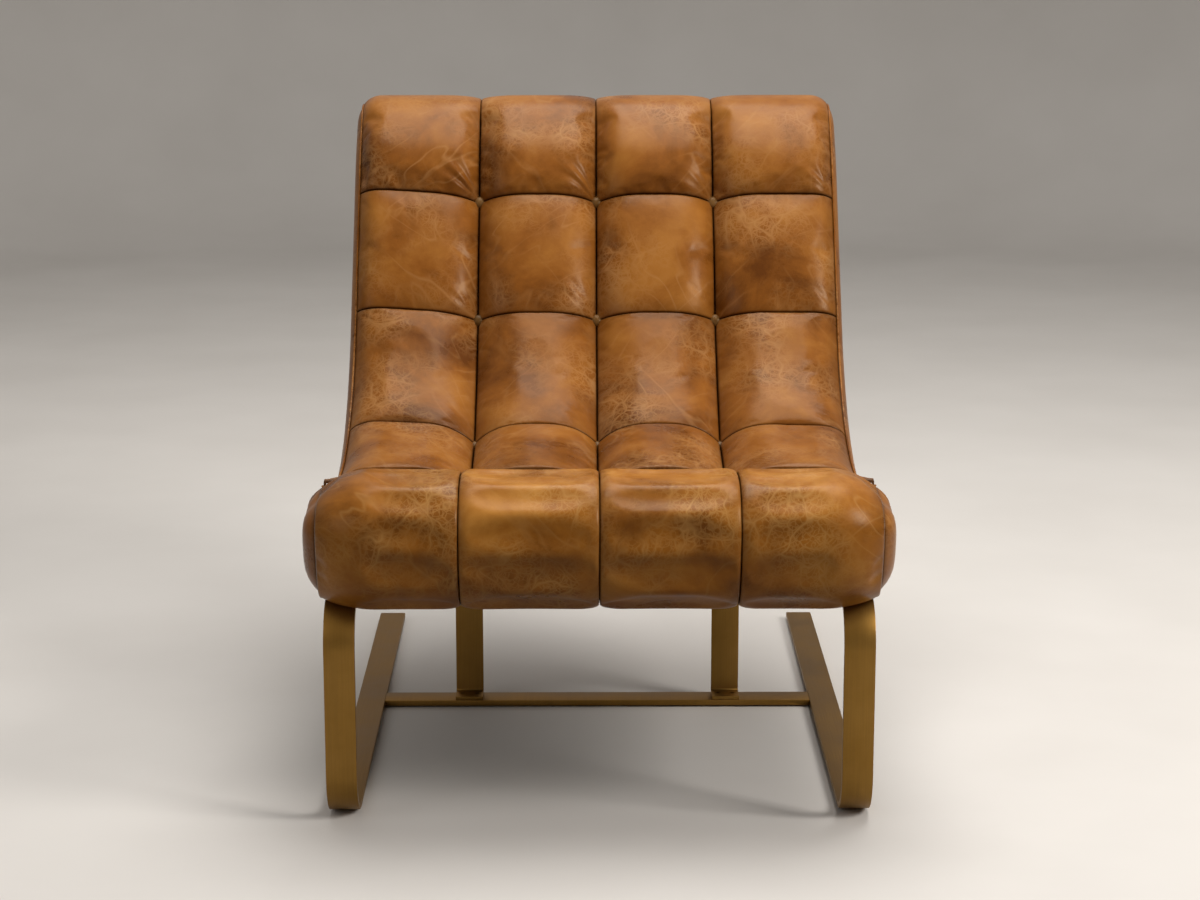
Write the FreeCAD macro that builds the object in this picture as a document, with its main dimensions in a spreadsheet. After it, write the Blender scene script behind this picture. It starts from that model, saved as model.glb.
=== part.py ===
import FreeCAD, Part
import Sketcher
import math
import os

# Tufted leather lounge chair on a flat-bar sled base, in millimetres.
# X runs across the seat, the sitter faces -Y, +Z is up, and the floor is at Z = 0.

doc = FreeCAD.newDocument("TuftedLoungeChair")
sheet = doc.addObject("Spreadsheet::Sheet", "Sizes")

SIZES = (
    # seat and back, measured at the level of the sewn seams
    ("overall_depth", 965),
    ("column_pitch", 168.5),
    ("side_bulge", 13),
    ("seat_low_depth", 390),
    ("belly_cut", 29),
    ("seat_radius", 406),
    ("back_radius", 360),
    ("back_slope", 58),
    ("seat_seam_offset", 50),
    ("seat_front_row", 188),
    ("seat_rear_row", 192),
    ("back_lower_row", 223),
    ("back_middle_row", 184),
    ("back_top_row", 139),
    ("body_thickness", 98),
    # padded leather panels
    ("pad_thickness", 12),
    ("pillow_crown", 36),
    ("seam_rise", 24),
    ("crease_rise", 12),
    ("column_seam_rise", 9),
    ("edge_rise", 1),
    ("top_crown", 8),
    ("top_end_drop", 28),
    ("top_wrap_tail", 60),
    ("frame_end_margin", 38),
    ("leather_skin", 2.5),
    # front roll, at the level of the sewn seams
    ("roll_crown", 6),
    ("roll_top_rise", 86),
    ("roll_nose_rise", 20),
    ("roll_under_drop", 7),
    ("roll_top_depth", 76),
    ("roll_under_depth", 97),
    ("roll_end_inset", 26),
    ("roll_under_lift", 15),
    # wooden frame
    ("frame_thickness", 30),
    ("rail_front_depth", 127.3),
    ("front_rail_thickness", 22),
    ("front_rail_height", 71),
    ("rear_rail_depth", 502),
    ("rear_rail_thickness", 38),
    ("rear_rail_height", 38),
    ("back_rail_width", 45),
    ("back_rail_thickness", 32),
    ("corner_block_leg", 45),
    ("corner_block_height", 20),
    ("tenon_thickness", 8),
    ("tenon_width", 26),
    ("tenon_length", 40),
    # springing and padding
    ("foam_thickness", 25),
    ("deck_thickness", 1),
    ("webbing_thickness", 2),
    ("webbing_width", 60),
    ("side_padding_thickness", 5.4),
    ("dust_cover_thickness", 1),
    ("soft_gap", 0.3),
    # buttons and their twines
    ("button_radius", 9),
    ("button_height", 6.5),
    ("button_sink", 2),
    ("twine_radius", 1.2),
    ("backing_pad_radius", 12),
    ("backing_pad_thickness", 1.5),
    ("welt_radius", 2),
    ("welt_rise", 1.8),
    # sled base of flat bar
    ("bar_width", 38),
    ("bar_thickness", 8),
    ("arm_top_height", 278),
    ("arm_end_depth", 512),
    ("leg_front_depth", 46),
    ("top_bend_radius", 58),
    ("floor_bend_radius", 60),
    ("crossbar_depth", 515),
    ("strap_spacing", 358),
    ("strap_width", 38),
    ("strap_thickness", 5),
    ("strap_bend_radius", 8),
    ("strap_rear_depth", 550),
    ("strap_tab_length", 34),
    # glides and fasteners
    ("glide_thickness", 2.6),
    ("glide_width", 32),
    ("glide_length", 44),
    ("glide_front_depth", 108),
    ("glide_rear_margin", 12),
    ("bolt_radius", 4),
    ("bolt_head_radius", 7),
    ("bolt_head_height", 4.4),
    ("bolt_length", 28),
    ("bolt_hole_radius", 4.5),
    ("insert_radius", 6),
    ("insert_length", 18),
    ("front_bolt_depth", 172),
    ("rear_bolt_margin", 34),
    ("strap_bolt_margin", 24),
    ("rivet_radius", 3),
    ("rivet_spacing", 20),
    ("fit_gap", 0.1),
)
for row, (name, value) in enumerate(SIZES, start=1):
    sheet.set(f"A{row}", name)
    sheet.set(f"B{row}", str(value))
    sheet.setAlias(f"B{row}", name)
doc.recompute()


def size(name):
    return float(sheet.get(name))


def vector(across, depth, height):
    """A point from its place across, its depth behind the front of the roll and its height."""
    return FreeCAD.Vector(across, depth - size("overall_depth") / 2, height)


def feature(label, shape):
    """A sub-part whose shape is made by Part's own functions."""
    part = doc.addObject("Part::Feature", label)
    part.Label = label
    part.Shape = shape
    part.Placement = FreeCAD.Placement()
    return part


def group(label, shapes):
    """Several like pieces that share one node, as separate solids."""
    return feature(label, Part.makeCompound(shapes))


# Seam level: two arcs that meet at the lowest point of the seat, then a straight back.
seat_radius = size("seat_radius")
back_radius = size("back_radius")
back_start = back_radius * math.radians(size("back_slope"))
seam_4 = -size("seat_seam_offset")
seam_5 = seam_4 - size("seat_front_row")
seam_3 = seam_4 + size("seat_rear_row")
seam_2 = seam_3 + size("back_lower_row")
seam_1 = seam_2 + size("back_middle_row")
cap_start = seam_1 + size("back_top_row")
cap_radius = size("body_thickness") / 2
# The body hangs a little lower than the arms of the base: its belly is cut flat where it rests on them.
seat_low_height = size("arm_top_height") + size("body_thickness") - size("belly_cut")
gap = size("soft_gap")
pad = size("pad_thickness")
half_width = 2 * size("column_pitch")


def face_frame(along):
    """Depth, height and slope of the seam level at a distance along it from the seat's lowest point."""
    radius = seat_radius if along < 0 else back_radius
    curved = min(along, back_start)
    slope = curved / radius
    depth = size("seat_low_depth") + radius * math.sin(slope) + (along - curved) * math.cos(slope)
    height = seat_low_height + radius * (1 - math.cos(slope)) + (along - curved) * math.sin(slope)
    return depth, height, slope


def face_point(across, along, rise):
    depth, height, slope = face_frame(along)
    return vector(across, depth - rise * math.sin(slope), height + rise * math.cos(slope))


def arc(first, middle, last):
    return Part.Arc(first, middle, last).toShape()


def along_face(across, first, last, rise):
    """Arcs and lines that follow the seam level at a steady rise above it."""
    turns = [stop for stop in (0, back_start) if first < stop < last]
    stops = [first, *turns, last]
    edges = []
    for start, end in zip(stops, stops[1:]):
        corners = [face_point(across, place, rise) for place in (start, (start + end) / 2, end)]
        if start >= back_start:
            edges.append(Part.makeLine(corners[0], corners[2]))
        else:
            edges.append(arc(*corners))
    return edges


def closed(edges):
    """One closed wire from edges given in order, with straight lines across any open step."""
    ordered = []
    start = edges[0].valueAt(edges[0].FirstParameter)
    tip = start
    for edge in edges:
        ends = [edge.valueAt(edge.FirstParameter), edge.valueAt(edge.LastParameter)]
        near, far = sorted(ends, key=lambda end: end.distanceToPoint(tip))
        if near.distanceToPoint(tip) > gap / 10:
            ordered.append(Part.makeLine(tip, near))
        ordered.append(edge)
        tip = far
    if tip.distanceToPoint(start) > gap / 10:
        ordered.append(Part.makeLine(tip, start))
    return Part.Wire(ordered)


def slab(wire, width):
    """A flat profile pushed sideways by a width."""
    return Part.Face(wire).extrude(FreeCAD.Vector(width, 0, 0))


def band(first, last, top, bottom, start_across, end_across):
    """A layer between two drops below the seam level, from one place across to another."""
    upper = along_face(start_across, first, last, -top)
    lower = along_face(start_across, first, last, -bottom)
    return slab(closed(upper + lower[::-1]), end_across - start_across)


def prism(radius, sides, height):
    """A straight piece with several flat sides, standing on Z = 0."""
    turns = [2 * math.pi * number / sides for number in range(sides + 1)]
    corners = [FreeCAD.Vector(radius * math.cos(turn), radius * math.sin(turn), 0) for turn in turns]
    return Part.Face(Part.makePolygon(corners)).extrude(FreeCAD.Vector(0, 0, height))


# The layers under the padded leather, from the top down, as drops below the seam level.
foam_top = pad + gap
foam_bottom = foam_top + size("foam_thickness")
deck_top = foam_bottom + gap
deck_bottom = deck_top + size("deck_thickness")
webbing_top = deck_bottom + gap
webbing_bottom = webbing_top + size("webbing_thickness")
frame_top = webbing_bottom + gap
skin_inner = size("body_thickness") - size("leather_skin")
frame_back = skin_inner - gap
frame_side = half_width - size("side_padding_thickness") - 2 * gap
frame_inner = frame_side - size("frame_thickness")
frame_end = cap_start - size("frame_end_margin")
underside = size("arm_top_height")
board_bottom = underside + size("dust_cover_thickness")
loop_centre = frame_inner + size("frame_thickness") / 2

# Each column of padding is drawn in at its seams: places across it and how full it is there.
ACROSS_SHARES = (0, 0.19, 0.81, 1)
FULLNESS_SHARES = (0, 1, 1, 0)
END_ACROSS_SHARES = (0, 0.19, 0.81, 0.93, 1)
END_FULLNESS_SHARES = (0, 1, 1, 0.6, 0)
END_DROP_SHARES = (0, 0, 0.06, 0.32, 1)


def stations(column):
    """Places across one column, each with its fullness and how far the rolls' ends are drawn in there."""
    pitch = size("column_pitch")
    if column in (1, 2):
        start = (column - 2) * pitch
        return [(start + share * pitch, full, 0) for share, full in zip(ACROSS_SHARES, FULLNESS_SHARES)]
    side = -1 if column == 0 else 1
    ends = zip(END_ACROSS_SHARES, END_FULLNESS_SHARES, END_DROP_SHARES)
    return [(side * (pitch + share * pitch), full, drop) for share, full, drop in ends]


def panel_row(section):
    """Four padded leather panels, each lofted across its column through the given section."""
    return [Part.makeLoft([section(*place) for place in stations(column)], True, True) for column in range(4)]


# Buttons sit in the crossings of the seams. Each has a pocket in the padding and a hole for its twine.
BUTTON_ROWS = (seam_1, seam_2, seam_3, seam_4)
BUTTON_ACROSS = (-size("column_pitch"), 0, size("column_pitch"))
twine_hole = size("twine_radius") + gap
BUTTON_SIDES = 12
TWINE_SIDES = 6
BACKING_SIDES = 4


def upright_at(shape, across, along, rise):
    """A shape made along +Z, set on the seam level and turned to stand square on it."""
    slope = math.degrees(face_frame(along)[2])
    turned = FreeCAD.Rotation(FreeCAD.Vector(1, 0, 0), slope)
    placed = shape.copy()
    placed.Placement = FreeCAD.Placement(face_point(across, along, rise), turned)
    return placed


def crossing_cutters(along):
    """Pockets for one row of buttons, with the holes for their twines."""
    floor = size("button_sink") + gap
    pocket = prism(size("button_radius") + gap, BUTTON_SIDES, size("pillow_crown") + floor)
    hole = prism(twine_hole, TWINE_SIDES, size("body_thickness") / 2)
    cutters = []
    for across in BUTTON_ACROSS:
        cutters.append(upright_at(pocket, across, along, -floor))
        cutters.append(upright_at(hole, across, along, -size("body_thickness") / 2))
    return cutters


def with_crossings(panels, rows):
    """Panels with the pockets and holes of the given seams cut out of them."""
    cutters = [cutter for along in rows for cutter in crossing_cutters(along)]
    result = []
    for panel in panels:
        near = [cutter for cutter in cutters if panel.distToShape(cutter)[0] < gap]
        result.append(panel.cut(near) if near else panel)
    return result


def crown_at(full, end_share):
    """Height of the leather in the middle of a row: low at the column seams, lowest at the side edge."""
    low = size("column_seam_rise") + end_share * (size("edge_rise") - size("column_seam_rise"))
    return low + full * (size("pillow_crown") - low)


def row_section(first, last, front="seam_rise"):
    """A section of one row: crowned leather above, the underside of its padding below."""
    def section(across, full, end_share):
        crown = crown_at(full, end_share)
        corners = (first, full * size(front)), ((first + last) / 2, crown), (last, full * size("seam_rise"))
        upper = arc(*[face_point(across, along, height) for along, height in corners])
        return closed([upper] + along_face(across, first, last, -pad)[::-1])
    return section


# Padded leather panels of the seat and back: four to a row, sewn to each other along their edges.
group("seat_front_panels", with_crossings(panel_row(row_section(seam_5, seam_4, "crease_rise")), (seam_4,)))
group("seat_rear_panels", with_crossings(panel_row(row_section(seam_4, seam_3)), (seam_4, seam_3)))
group("back_lower_panels", with_crossings(panel_row(row_section(seam_3, seam_2)), (seam_3, seam_2)))
group("back_middle_panels", with_crossings(panel_row(row_section(seam_2, seam_1)), (seam_2, seam_1)))


# The top row runs up the face, over the rounded top and a short way down the outside back.
wrap_end = cap_start - size("top_wrap_tail")
DIAGONAL = math.sqrt(0.5)


def cap_arcs(across, drop, radius, centre):
    """Two quarter arcs over the top of the back, round a centre given as a drop below the seam level."""
    start = cap_start - drop

    def on_cap(along_share, rise_share):
        return face_point(across, start + along_share * radius, rise_share * radius - centre)

    front = arc(on_cap(0, 1), on_cap(DIAGONAL, DIAGONAL), on_cap(1, 0))
    rear = arc(on_cap(1, 0), on_cap(DIAGONAL, -DIAGONAL), on_cap(0, -1))
    return [front, rear]


def top_section(across, full, end_share):
    drop = end_share * size("top_end_drop")
    crown = crown_at(full, end_share)
    over = full * size("top_crown")
    start = cap_start - drop
    corners = (seam_1, full * size("seam_rise")), ((seam_1 + start) / 2, crown), (start, over)
    face = arc(*[face_point(across, along, height) for along, height in corners])
    outer = cap_arcs(across, drop, cap_radius + over, cap_radius)
    inner_centre = (pad + skin_inner) / 2
    inner = cap_arcs(across, drop, (skin_inner - pad) / 2, inner_centre)
    tail = Part.makeLine(outer[1].valueAt(outer[1].LastParameter),
                         face_point(across, wrap_end, -size("body_thickness")))
    inner_tail = Part.makeLine(face_point(across, wrap_end, -skin_inner),
                               inner[1].valueAt(inner[1].LastParameter))
    inner_face = Part.makeLine(face_point(across, start, -pad), face_point(across, seam_1, -pad))
    return closed([face, *outer, tail, inner_tail, inner[1], inner[0], inner_face])


group("back_top_panels", with_crossings(panel_row(top_section), (seam_1,)))


# The front roll: leather columns wrapped from the crease behind it, over its top and nose, to its underside.
OVER_TOP_SHARE = 0.07


def roll_edges(across, inset, under_inset, crease_rise):
    """The roll's line in one plane: from the crease over the top and round the nose to the underside."""
    crease = face_point(across, seam_5, crease_rise)
    top = vector(across, size("roll_top_depth"), seat_low_height + size("roll_top_rise") - inset)
    nose = vector(across, size("roll_crown") + inset, seat_low_height + size("roll_nose_rise"))
    under = vector(across, size("roll_under_depth"), underside - size("roll_under_drop") + under_inset)
    end = vector(across, size("rail_front_depth") - gap, under.z + gap)
    over_top = (crease + top) / 2 + FreeCAD.Vector(0, 0, (top - crease).Length * OVER_TOP_SHARE)
    upper = FreeCAD.Vector(across, top.y + (nose.y - top.y) * DIAGONAL, nose.z + (top.z - nose.z) * DIAGONAL)
    lower = FreeCAD.Vector(across, under.y + (nose.y - under.y) * DIAGONAL,
                           nose.z + (under.z - nose.z) * DIAGONAL)
    return [arc(crease, over_top, top), arc(top, upper, nose), arc(nose, lower, under), Part.makeLine(under, end)]


def roll_section(across, full, end_share):
    drawn = end_share * size("roll_end_inset")
    lifted = end_share * size("roll_under_lift")
    crown = full * size("roll_crown")
    outer = roll_edges(across, drawn - crown, lifted - crown, full * size("crease_rise"))
    inner = roll_edges(across, drawn + pad, lifted + pad, -pad)
    return closed(outer + inner[::-1])


# The arms of the base are pressed a little into the underside of the roll, so its panels are cut round them.
loop_outer_x = loop_centre + size("bar_width") / 2 + gap
loop_inner_x = loop_centre - size("bar_width") / 2 - gap


def arm_recess(side):
    """The outside of one bend and arm of the base, with a small gap round it."""
    front = size("leg_front_depth") - gap
    bend = size("top_bend_radius") + gap
    top = underside + gap
    start = side * loop_inner_x if side > 0 else -loop_outer_x
    corners = {"front": vector(start, front, top - bend), "top": vector(start, front + bend, top)}
    middle = vector(start, front + bend * (1 - DIAGONAL), top - bend * (1 - DIAGONAL))
    rear = size("front_bolt_depth")
    edges = [arc(corners["front"], middle, corners["top"]),
             Part.makeLine(corners["top"], vector(start, rear, top)),
             Part.makeLine(vector(start, rear, top), vector(start, rear, top - bend))]
    return slab(closed(edges), loop_outer_x - loop_inner_x)


recesses = [arm_recess(-1), arm_recess(1)]
roll_panels = panel_row(roll_section)
roll_panels[0] = roll_panels[0].cut(recesses[0])
roll_panels[3] = roll_panels[3].cut(recesses[1])
group("front_roll_panels", roll_panels)


# Side panels: leather boxing over wadding, from the edge of the panels out to the full width.
def foot_of_back(height, thickness):
    """Place along the seam level where the outside of the back comes down to a height."""
    rise = seat_low_height + back_radius - height
    return back_radius * math.acos(rise / (back_radius + thickness))


def side_outline(across, inset):
    """Outline of the body at its side, drawn in all round by an inset."""
    drop = size("top_end_drop")
    thickness = size("body_thickness") - inset
    floor = underside + inset
    low = foot_of_back(floor, thickness)
    face = along_face(across, seam_5, cap_start - drop, -inset)
    cap = cap_arcs(across, drop, cap_radius - inset, cap_radius)
    back = along_face(across, low, cap_start - drop, -thickness)[::-1]
    roll = roll_edges(across, size("roll_end_inset") + inset, size("roll_under_lift") + inset, -inset)[::-1]
    corner = vector(across, size("rail_front_depth") - gap, floor)
    return closed([*face, *cap, *back, Part.makeLine(face_point(across, low, -thickness), corner), *roll])


BULGE_SHARES = ((0, 0), (0.6, 0.2), (1, 1))


def side_panel(side):
    bulge = size("side_bulge")
    return Part.makeLoft([side_outline(side * (half_width + out * bulge), inset * bulge)
                          for out, inset in BULGE_SHARES], True, True)


for side, name in ((-1, "left"), (1, "right")):
    feature(f"side_panel_{name}", side_panel(side))
    start = half_width - gap - size("side_padding_thickness") if side > 0 else gap - half_width
    padding = Part.Face(side_outline(start, foam_top))
    feature(f"side_padding_{name}", padding.extrude(FreeCAD.Vector(size("side_padding_thickness"), 0, 0)))


# Edge welts: thin piping along the seams where the panels of seat and back meet the side panels.
WELT_SIDES = 6


def welt(side):
    across = side * (half_width + size("welt_radius") + gap)
    drop = size("top_end_drop")
    rise = size("welt_rise")
    face = along_face(across, seam_5, cap_start - drop, rise)
    cap = cap_arcs(across, drop, cap_radius + rise, cap_radius)
    tail = Part.makeLine(face_point(across, cap_start - drop, -size("body_thickness") - rise),
                         face_point(across, wrap_end, -size("body_thickness") - rise))
    path = Part.Wire([*face, *cap, tail])
    start = face[0].valueAt(face[0].FirstParameter)
    ring = prism(size("welt_radius"), WELT_SIDES, size("welt_radius")).Faces[-1].OuterWire
    turned = FreeCAD.Rotation(FreeCAD.Vector(0, 0, 1), face[0].tangentAt(face[0].FirstParameter))
    ring.Placement = FreeCAD.Placement(start, turned)
    return path.makePipeShell([ring], True)


for side, name in ((-1, "left"), (1, "right")):
    feature(f"edge_welt_{name}", welt(side))


# Foam under the leather, the deck cloth under that, and the webbing that carries both.
seat_layers = [cutter for along in BUTTON_ROWS for cutter in crossing_cutters(along)]


def layer(first, last, top, bottom):
    """A layer between the side paddings, with the holes for the twines."""
    return band(first, last, top, bottom, -frame_side, frame_side).cut(seat_layers)


foam_joint = seam_3 - 3 * twine_hole
feature("seat_foam", layer(seam_5 + gap, foam_joint - gap, foam_top, foam_bottom))
feature("back_foam", layer(foam_joint, frame_end, foam_top, foam_bottom))
feature("deck_cloth", layer(seam_5 + gap, frame_end, deck_top, deck_bottom))


def webbing(centres):
    half = size("webbing_width") / 2
    return [band(along - half, along + half, webbing_top, webbing_bottom, -frame_side, frame_side)
            .cut(crossing_cutters(along)) for along in centres]


group("seat_webbing", webbing(((seam_5 + seam_4) / 2, seam_4, (seam_4 + seam_3) / 2, seam_3)))
top_web = frame_end - size("webbing_width") / 2 - size("webbing_thickness")
group("back_webbing", webbing(((seam_3 + seam_2) / 2, seam_2, (seam_2 + seam_1) / 2, seam_1, top_web)))

# Foam core of the front roll, drawn in at its ends like the leather over it, and the roll over the top rail.
CORE_SHARES = ((-1, 1), (-0.93, 0.38), (-0.81, 0.1), (0.81, 0.1), (0.93, 0.38), (1, 1))
pitch = size("column_pitch")


def core_places():
    """Places across for a foam core, each with the share by which it is drawn in."""
    return [(math.copysign(min(pitch + abs(share) * pitch, frame_side), share), drawn)
            for share, drawn in CORE_SHARES]


def roll_core_section(across, end_share):
    inset = end_share * size("roll_end_inset") + foam_top
    lift = end_share * size("roll_under_lift") + foam_top
    edges = roll_edges(across, inset, lift, -foam_top)
    depth = size("rail_front_depth") - gap
    crease_depth, crease_height, slope = face_frame(seam_5)
    drop = (crease_depth - depth) / -math.sin(slope)
    corner = vector(across, depth, crease_height - drop * math.cos(slope))
    return closed([*edges, Part.makeLine(edges[-1].valueAt(edges[-1].LastParameter), corner)])


feature("front_roll_foam", Part.makeLoft([roll_core_section(*place) for place in core_places()], True, True))


def top_core_section(across, end_share):
    drop = end_share * size("top_end_drop")
    inner = (skin_inner - pad) / 2
    centre = pad + inner
    cap = cap_arcs(across, drop, inner - gap, centre)
    start = face_point(across, frame_end + gap, inner - gap - centre)
    end = face_point(across, frame_end + gap, gap - inner - centre)
    return closed([Part.makeLine(start, face_point(across, cap_start - drop, inner - gap - centre)), *cap,
                   Part.makeLine(face_point(across, cap_start - drop, gap - inner - centre), end)])


feature("top_roll_foam", Part.makeLoft([top_core_section(*place) for place in core_places()], True, True))

# Outside back: one leather panel from the top row's seam down to the underside of the seat.
outside_low = foot_of_back(underside, size("body_thickness"))
feature("outside_back_panel", band(outside_low, wrap_end, skin_inner, size("body_thickness"),
                                   -half_width, half_width))

# Wooden frame: two curved plywood sides, joined to the rails by loose tenons and glue blocks.
tenons = []
mortises = []
fit = size("fit_gap")


def tenon_pair(place, slope):
    """A loose tenon across each end of a rail, half in the rail and half in the side, and its mortise."""
    turned = FreeCAD.Rotation(FreeCAD.Vector(1, 0, 0), math.degrees(slope))
    for side in (-1, 1):
        for spare, pieces in ((0, tenons), (fit, mortises)):
            length = size("tenon_length") + 2 * spare
            width = size("tenon_width") + 2 * spare
            thickness = size("tenon_thickness") + 2 * spare
            piece = Part.makeBox(length, width, thickness, FreeCAD.Vector(-length / 2, -width / 2, -thickness / 2))
            piece.Placement = FreeCAD.Placement(FreeCAD.Vector(side * frame_inner, place.y, place.z), turned)
            pieces.append(piece)


UPRIGHT = math.pi / 2
front_rail_middle = size("rail_front_depth") + size("front_rail_thickness") / 2
tenon_pair(vector(0, front_rail_middle, board_bottom + size("front_rail_height") / 2), UPRIGHT)
rear_rail_middle = size("rear_rail_depth") + size("rear_rail_thickness") / 2
tenon_pair(vector(0, rear_rail_middle, board_bottom + size("rear_rail_height") / 2), UPRIGHT)
rail_drop = frame_back - size("back_rail_thickness") / 2
lumbar_middle = back_start + size("back_rail_width") / 2
top_rail_middle = frame_end - size("back_rail_width") / 2
for along in (lumbar_middle, top_rail_middle):
    tenon_pair(face_point(0, along, -rail_drop), face_frame(along)[2])
group("frame_tenons", tenons)


def bolt_places():
    """Places of the bolts that hold the base, with the height of the wood above each."""
    arm_end = size("arm_end_depth") - size("rear_bolt_margin")
    loops = [(side * loop_centre, depth, underside)
             for side in (-1, 1) for depth in (size("front_bolt_depth"), arm_end)]
    strap_end = size("strap_rear_depth") - size("strap_bolt_margin")
    straps = [(side * size("strap_spacing") / 2, strap_end, board_bottom) for side in (-1, 1)]
    return loops, straps


loop_bolts, strap_bolts = bolt_places()


def insert_holes():
    depth = size("insert_length") + size("bolt_radius")
    return [Part.makeCylinder(size("insert_radius") + fit, depth, vector(*place))
            for place in loop_bolts + strap_bolts]


bores = mortises + insert_holes()


def side_frame(side):
    """One plywood side: flat below, upright in front, and following the padding and the outside back."""
    start = side * frame_inner if side > 0 else -frame_side
    front = size("rail_front_depth")
    crease_depth, crease_height, slope = face_frame(seam_5)
    drop = (crease_depth - front) / -math.sin(slope)
    shoulder = vector(start, front, crease_height - drop * math.cos(slope) - gap)
    low = foot_of_back(underside, frame_back)
    top = along_face(start, seam_5 + gap, frame_end, -frame_top)
    back = along_face(start, low, frame_end, -frame_back)[::-1]
    toe = vector(start, front, underside)
    edges = [*top, *back, Part.makeLine(face_point(start, low, -frame_back), toe), Part.makeLine(toe, shoulder)]
    return slab(closed(edges), size("frame_thickness")).cut(bores)


for side, name in ((-1, "left"), (1, "right")):
    feature(f"side_frame_{name}", side_frame(side))


def board(label, formulas):
    """A straight board as a box whose sizes and place are bound to the sheet."""
    blank = doc.addObject("Part::Box", f"{label}_blank")
    for target, formula in formulas.items():
        blank.setExpression(target, formula)
    return blank


def bored(label, blank, holes):
    """A blank with holes cut out of it, as the finished sub-part."""
    doc.recompute()
    near = [hole for hole in holes if blank.Shape.distToShape(hole)[0] < gap]
    drill = doc.addObject("Part::Feature", f"{label}_drill")
    drill.Shape = Part.makeCompound(near)
    part = doc.addObject("Part::Cut", label)
    part.Label = label
    part.Base = blank
    part.Tool = drill
    return part


frame_inner_formula = "(2 * Sizes.column_pitch - Sizes.side_padding_thickness - 2 * Sizes.soft_gap"
frame_inner_formula += " - Sizes.frame_thickness)"
board_formula = "Sizes.arm_top_height + Sizes.dust_cover_thickness"
for label, prefix in (("front_seat_rail", "front"), ("rear_seat_rail", "rear")):
    depth_name = "rail_front_depth" if prefix == "front" else "rear_rail_depth"
    bored(label, board(label, {
        "Length": f"2 * {frame_inner_formula}",
        "Width": f"Sizes.{prefix}_rail_thickness",
        "Height": f"Sizes.{prefix}_rail_height",
        "Placement.Base.x": f"-{frame_inner_formula}",
        "Placement.Base.y": f"Sizes.{depth_name} - Sizes.overall_depth / 2",
        "Placement.Base.z": board_formula,
    }), bores)


def back_rail(label, middle):
    """A board across the back, square to it, whose place follows the seam level."""
    half = size("back_rail_width") / 2
    wood = band(middle - half, middle + half, frame_back - size("back_rail_thickness"), frame_back,
                -frame_inner, frame_inner)
    feature(label, wood.cut(bores))


back_rail("lumbar_rail", lumbar_middle)
back_rail("top_rail", top_rail_middle)


def corner_block(side, depth, toward):
    """A three-cornered glue block between a rail and a side of the frame."""
    leg = size("corner_block_leg")
    corner = vector(side * frame_inner, depth, board_bottom)
    along_rail = corner - FreeCAD.Vector(side * leg, 0, 0)
    along_side = corner + FreeCAD.Vector(0, toward * leg, 0)
    outline = Part.makePolygon([corner, along_rail, along_side, corner])
    return Part.Face(outline).extrude(FreeCAD.Vector(0, 0, size("corner_block_height")))


group("corner_blocks", [corner_block(side, depth, toward) for side in (-1, 1) for depth, toward in
                        ((size("rail_front_depth") + size("front_rail_thickness"), 1),
                         (size("rear_rail_depth"), -1))])


# Dust cover: thin cloth across the underside, between the arms of the base.
def dust_cover():
    front = size("rail_front_depth")
    rear = face_point(0, outside_low, -skin_inner).y - gap
    corner = vector(-frame_inner + gap, front, underside)
    cloth = Part.makeBox(2 * (frame_inner - gap), rear - corner.y, size("dust_cover_thickness"), corner)
    holes = [Part.makeCylinder(size("bolt_hole_radius"), size("bolt_length"),
                               vector(across, depth, underside - size("dust_cover_thickness")))
             for across, depth, height in strap_bolts]
    return cloth.cut(holes)


feature("dust_cover", dust_cover())


def plane_of(body, role):
    return [part for part in body.Origin.OriginFeatures if part.Role == role][0]


def new_body(label):
    body = doc.addObject("PartDesign::Body", label)
    body.Label = label
    return body


def new_sketch(body, role, lift=None):
    """A sketch on one of the body's own planes, lifted off it by a formula where one is given."""
    sketch = body.newObject("Sketcher::SketchObject", f"{body.Name}_{role[:2]}_sketch")
    sketch.AttachmentSupport = [(plane_of(body, role), "")]
    sketch.MapMode = "FlatFace"
    if lift:
        sketch.setExpression("AttachmentOffset.Base.z", lift)
    return sketch


START, END, CENTRE, ORIGIN = 1, 2, 3, -1
FLAT = FreeCAD.Vector(0, 0, 1)


def flat_angle(centre, point):
    return math.atan2(point.y - centre.y, point.x - centre.x)


def add_outline(sketch, steps):
    """Draws a closed outline of lines and arcs and joins its ends. A step is a corner, with a centre for an arc."""
    ends = []
    for number, (corner, centre) in enumerate(steps):
        after = steps[(number + 1) % len(steps)][0]
        if centre is None:
            sketch.addGeometry(Part.LineSegment(corner, after))
            ends.append((START, END))
            continue
        turn = (corner - centre).cross(after - centre).z
        first, last = (corner, after) if turn > 0 else (after, corner)
        circle = Part.Circle(centre, FLAT, (corner - centre).Length)
        begin, finish = flat_angle(centre, first), flat_angle(centre, last)
        if finish < begin:
            finish += 2 * math.pi
        sketch.addGeometry(Part.ArcOfCircle(circle, begin, finish))
        ends.append((START, END) if turn > 0 else (END, START))
    for number, (corner, centre) in enumerate(steps):
        following = (number + 1) % len(steps)
        smooth = centre is not None or steps[following][1] is not None
        kind = "Tangent" if smooth else "Coincident"
        sketch.addConstraint(Sketcher.Constraint(kind, number, ends[number][1], following, ends[following][0]))
        if centre is None:
            after = steps[following][0]
            level = abs(after.y - corner.y) < abs(after.x - corner.x)
            sketch.addConstraint(Sketcher.Constraint("Horizontal" if level else "Vertical", number))
    return ends


def bind(sketch, kind, arguments, formula):
    """A dimension of a sketch, bound to a formula of the sheet."""
    index = sketch.addConstraint(Sketcher.Constraint(kind, *arguments))
    sketch.setExpression(f"Constraints[{index}]", formula)


def value_of(formula):
    return float(sheet.evalExpression(formula))


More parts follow.
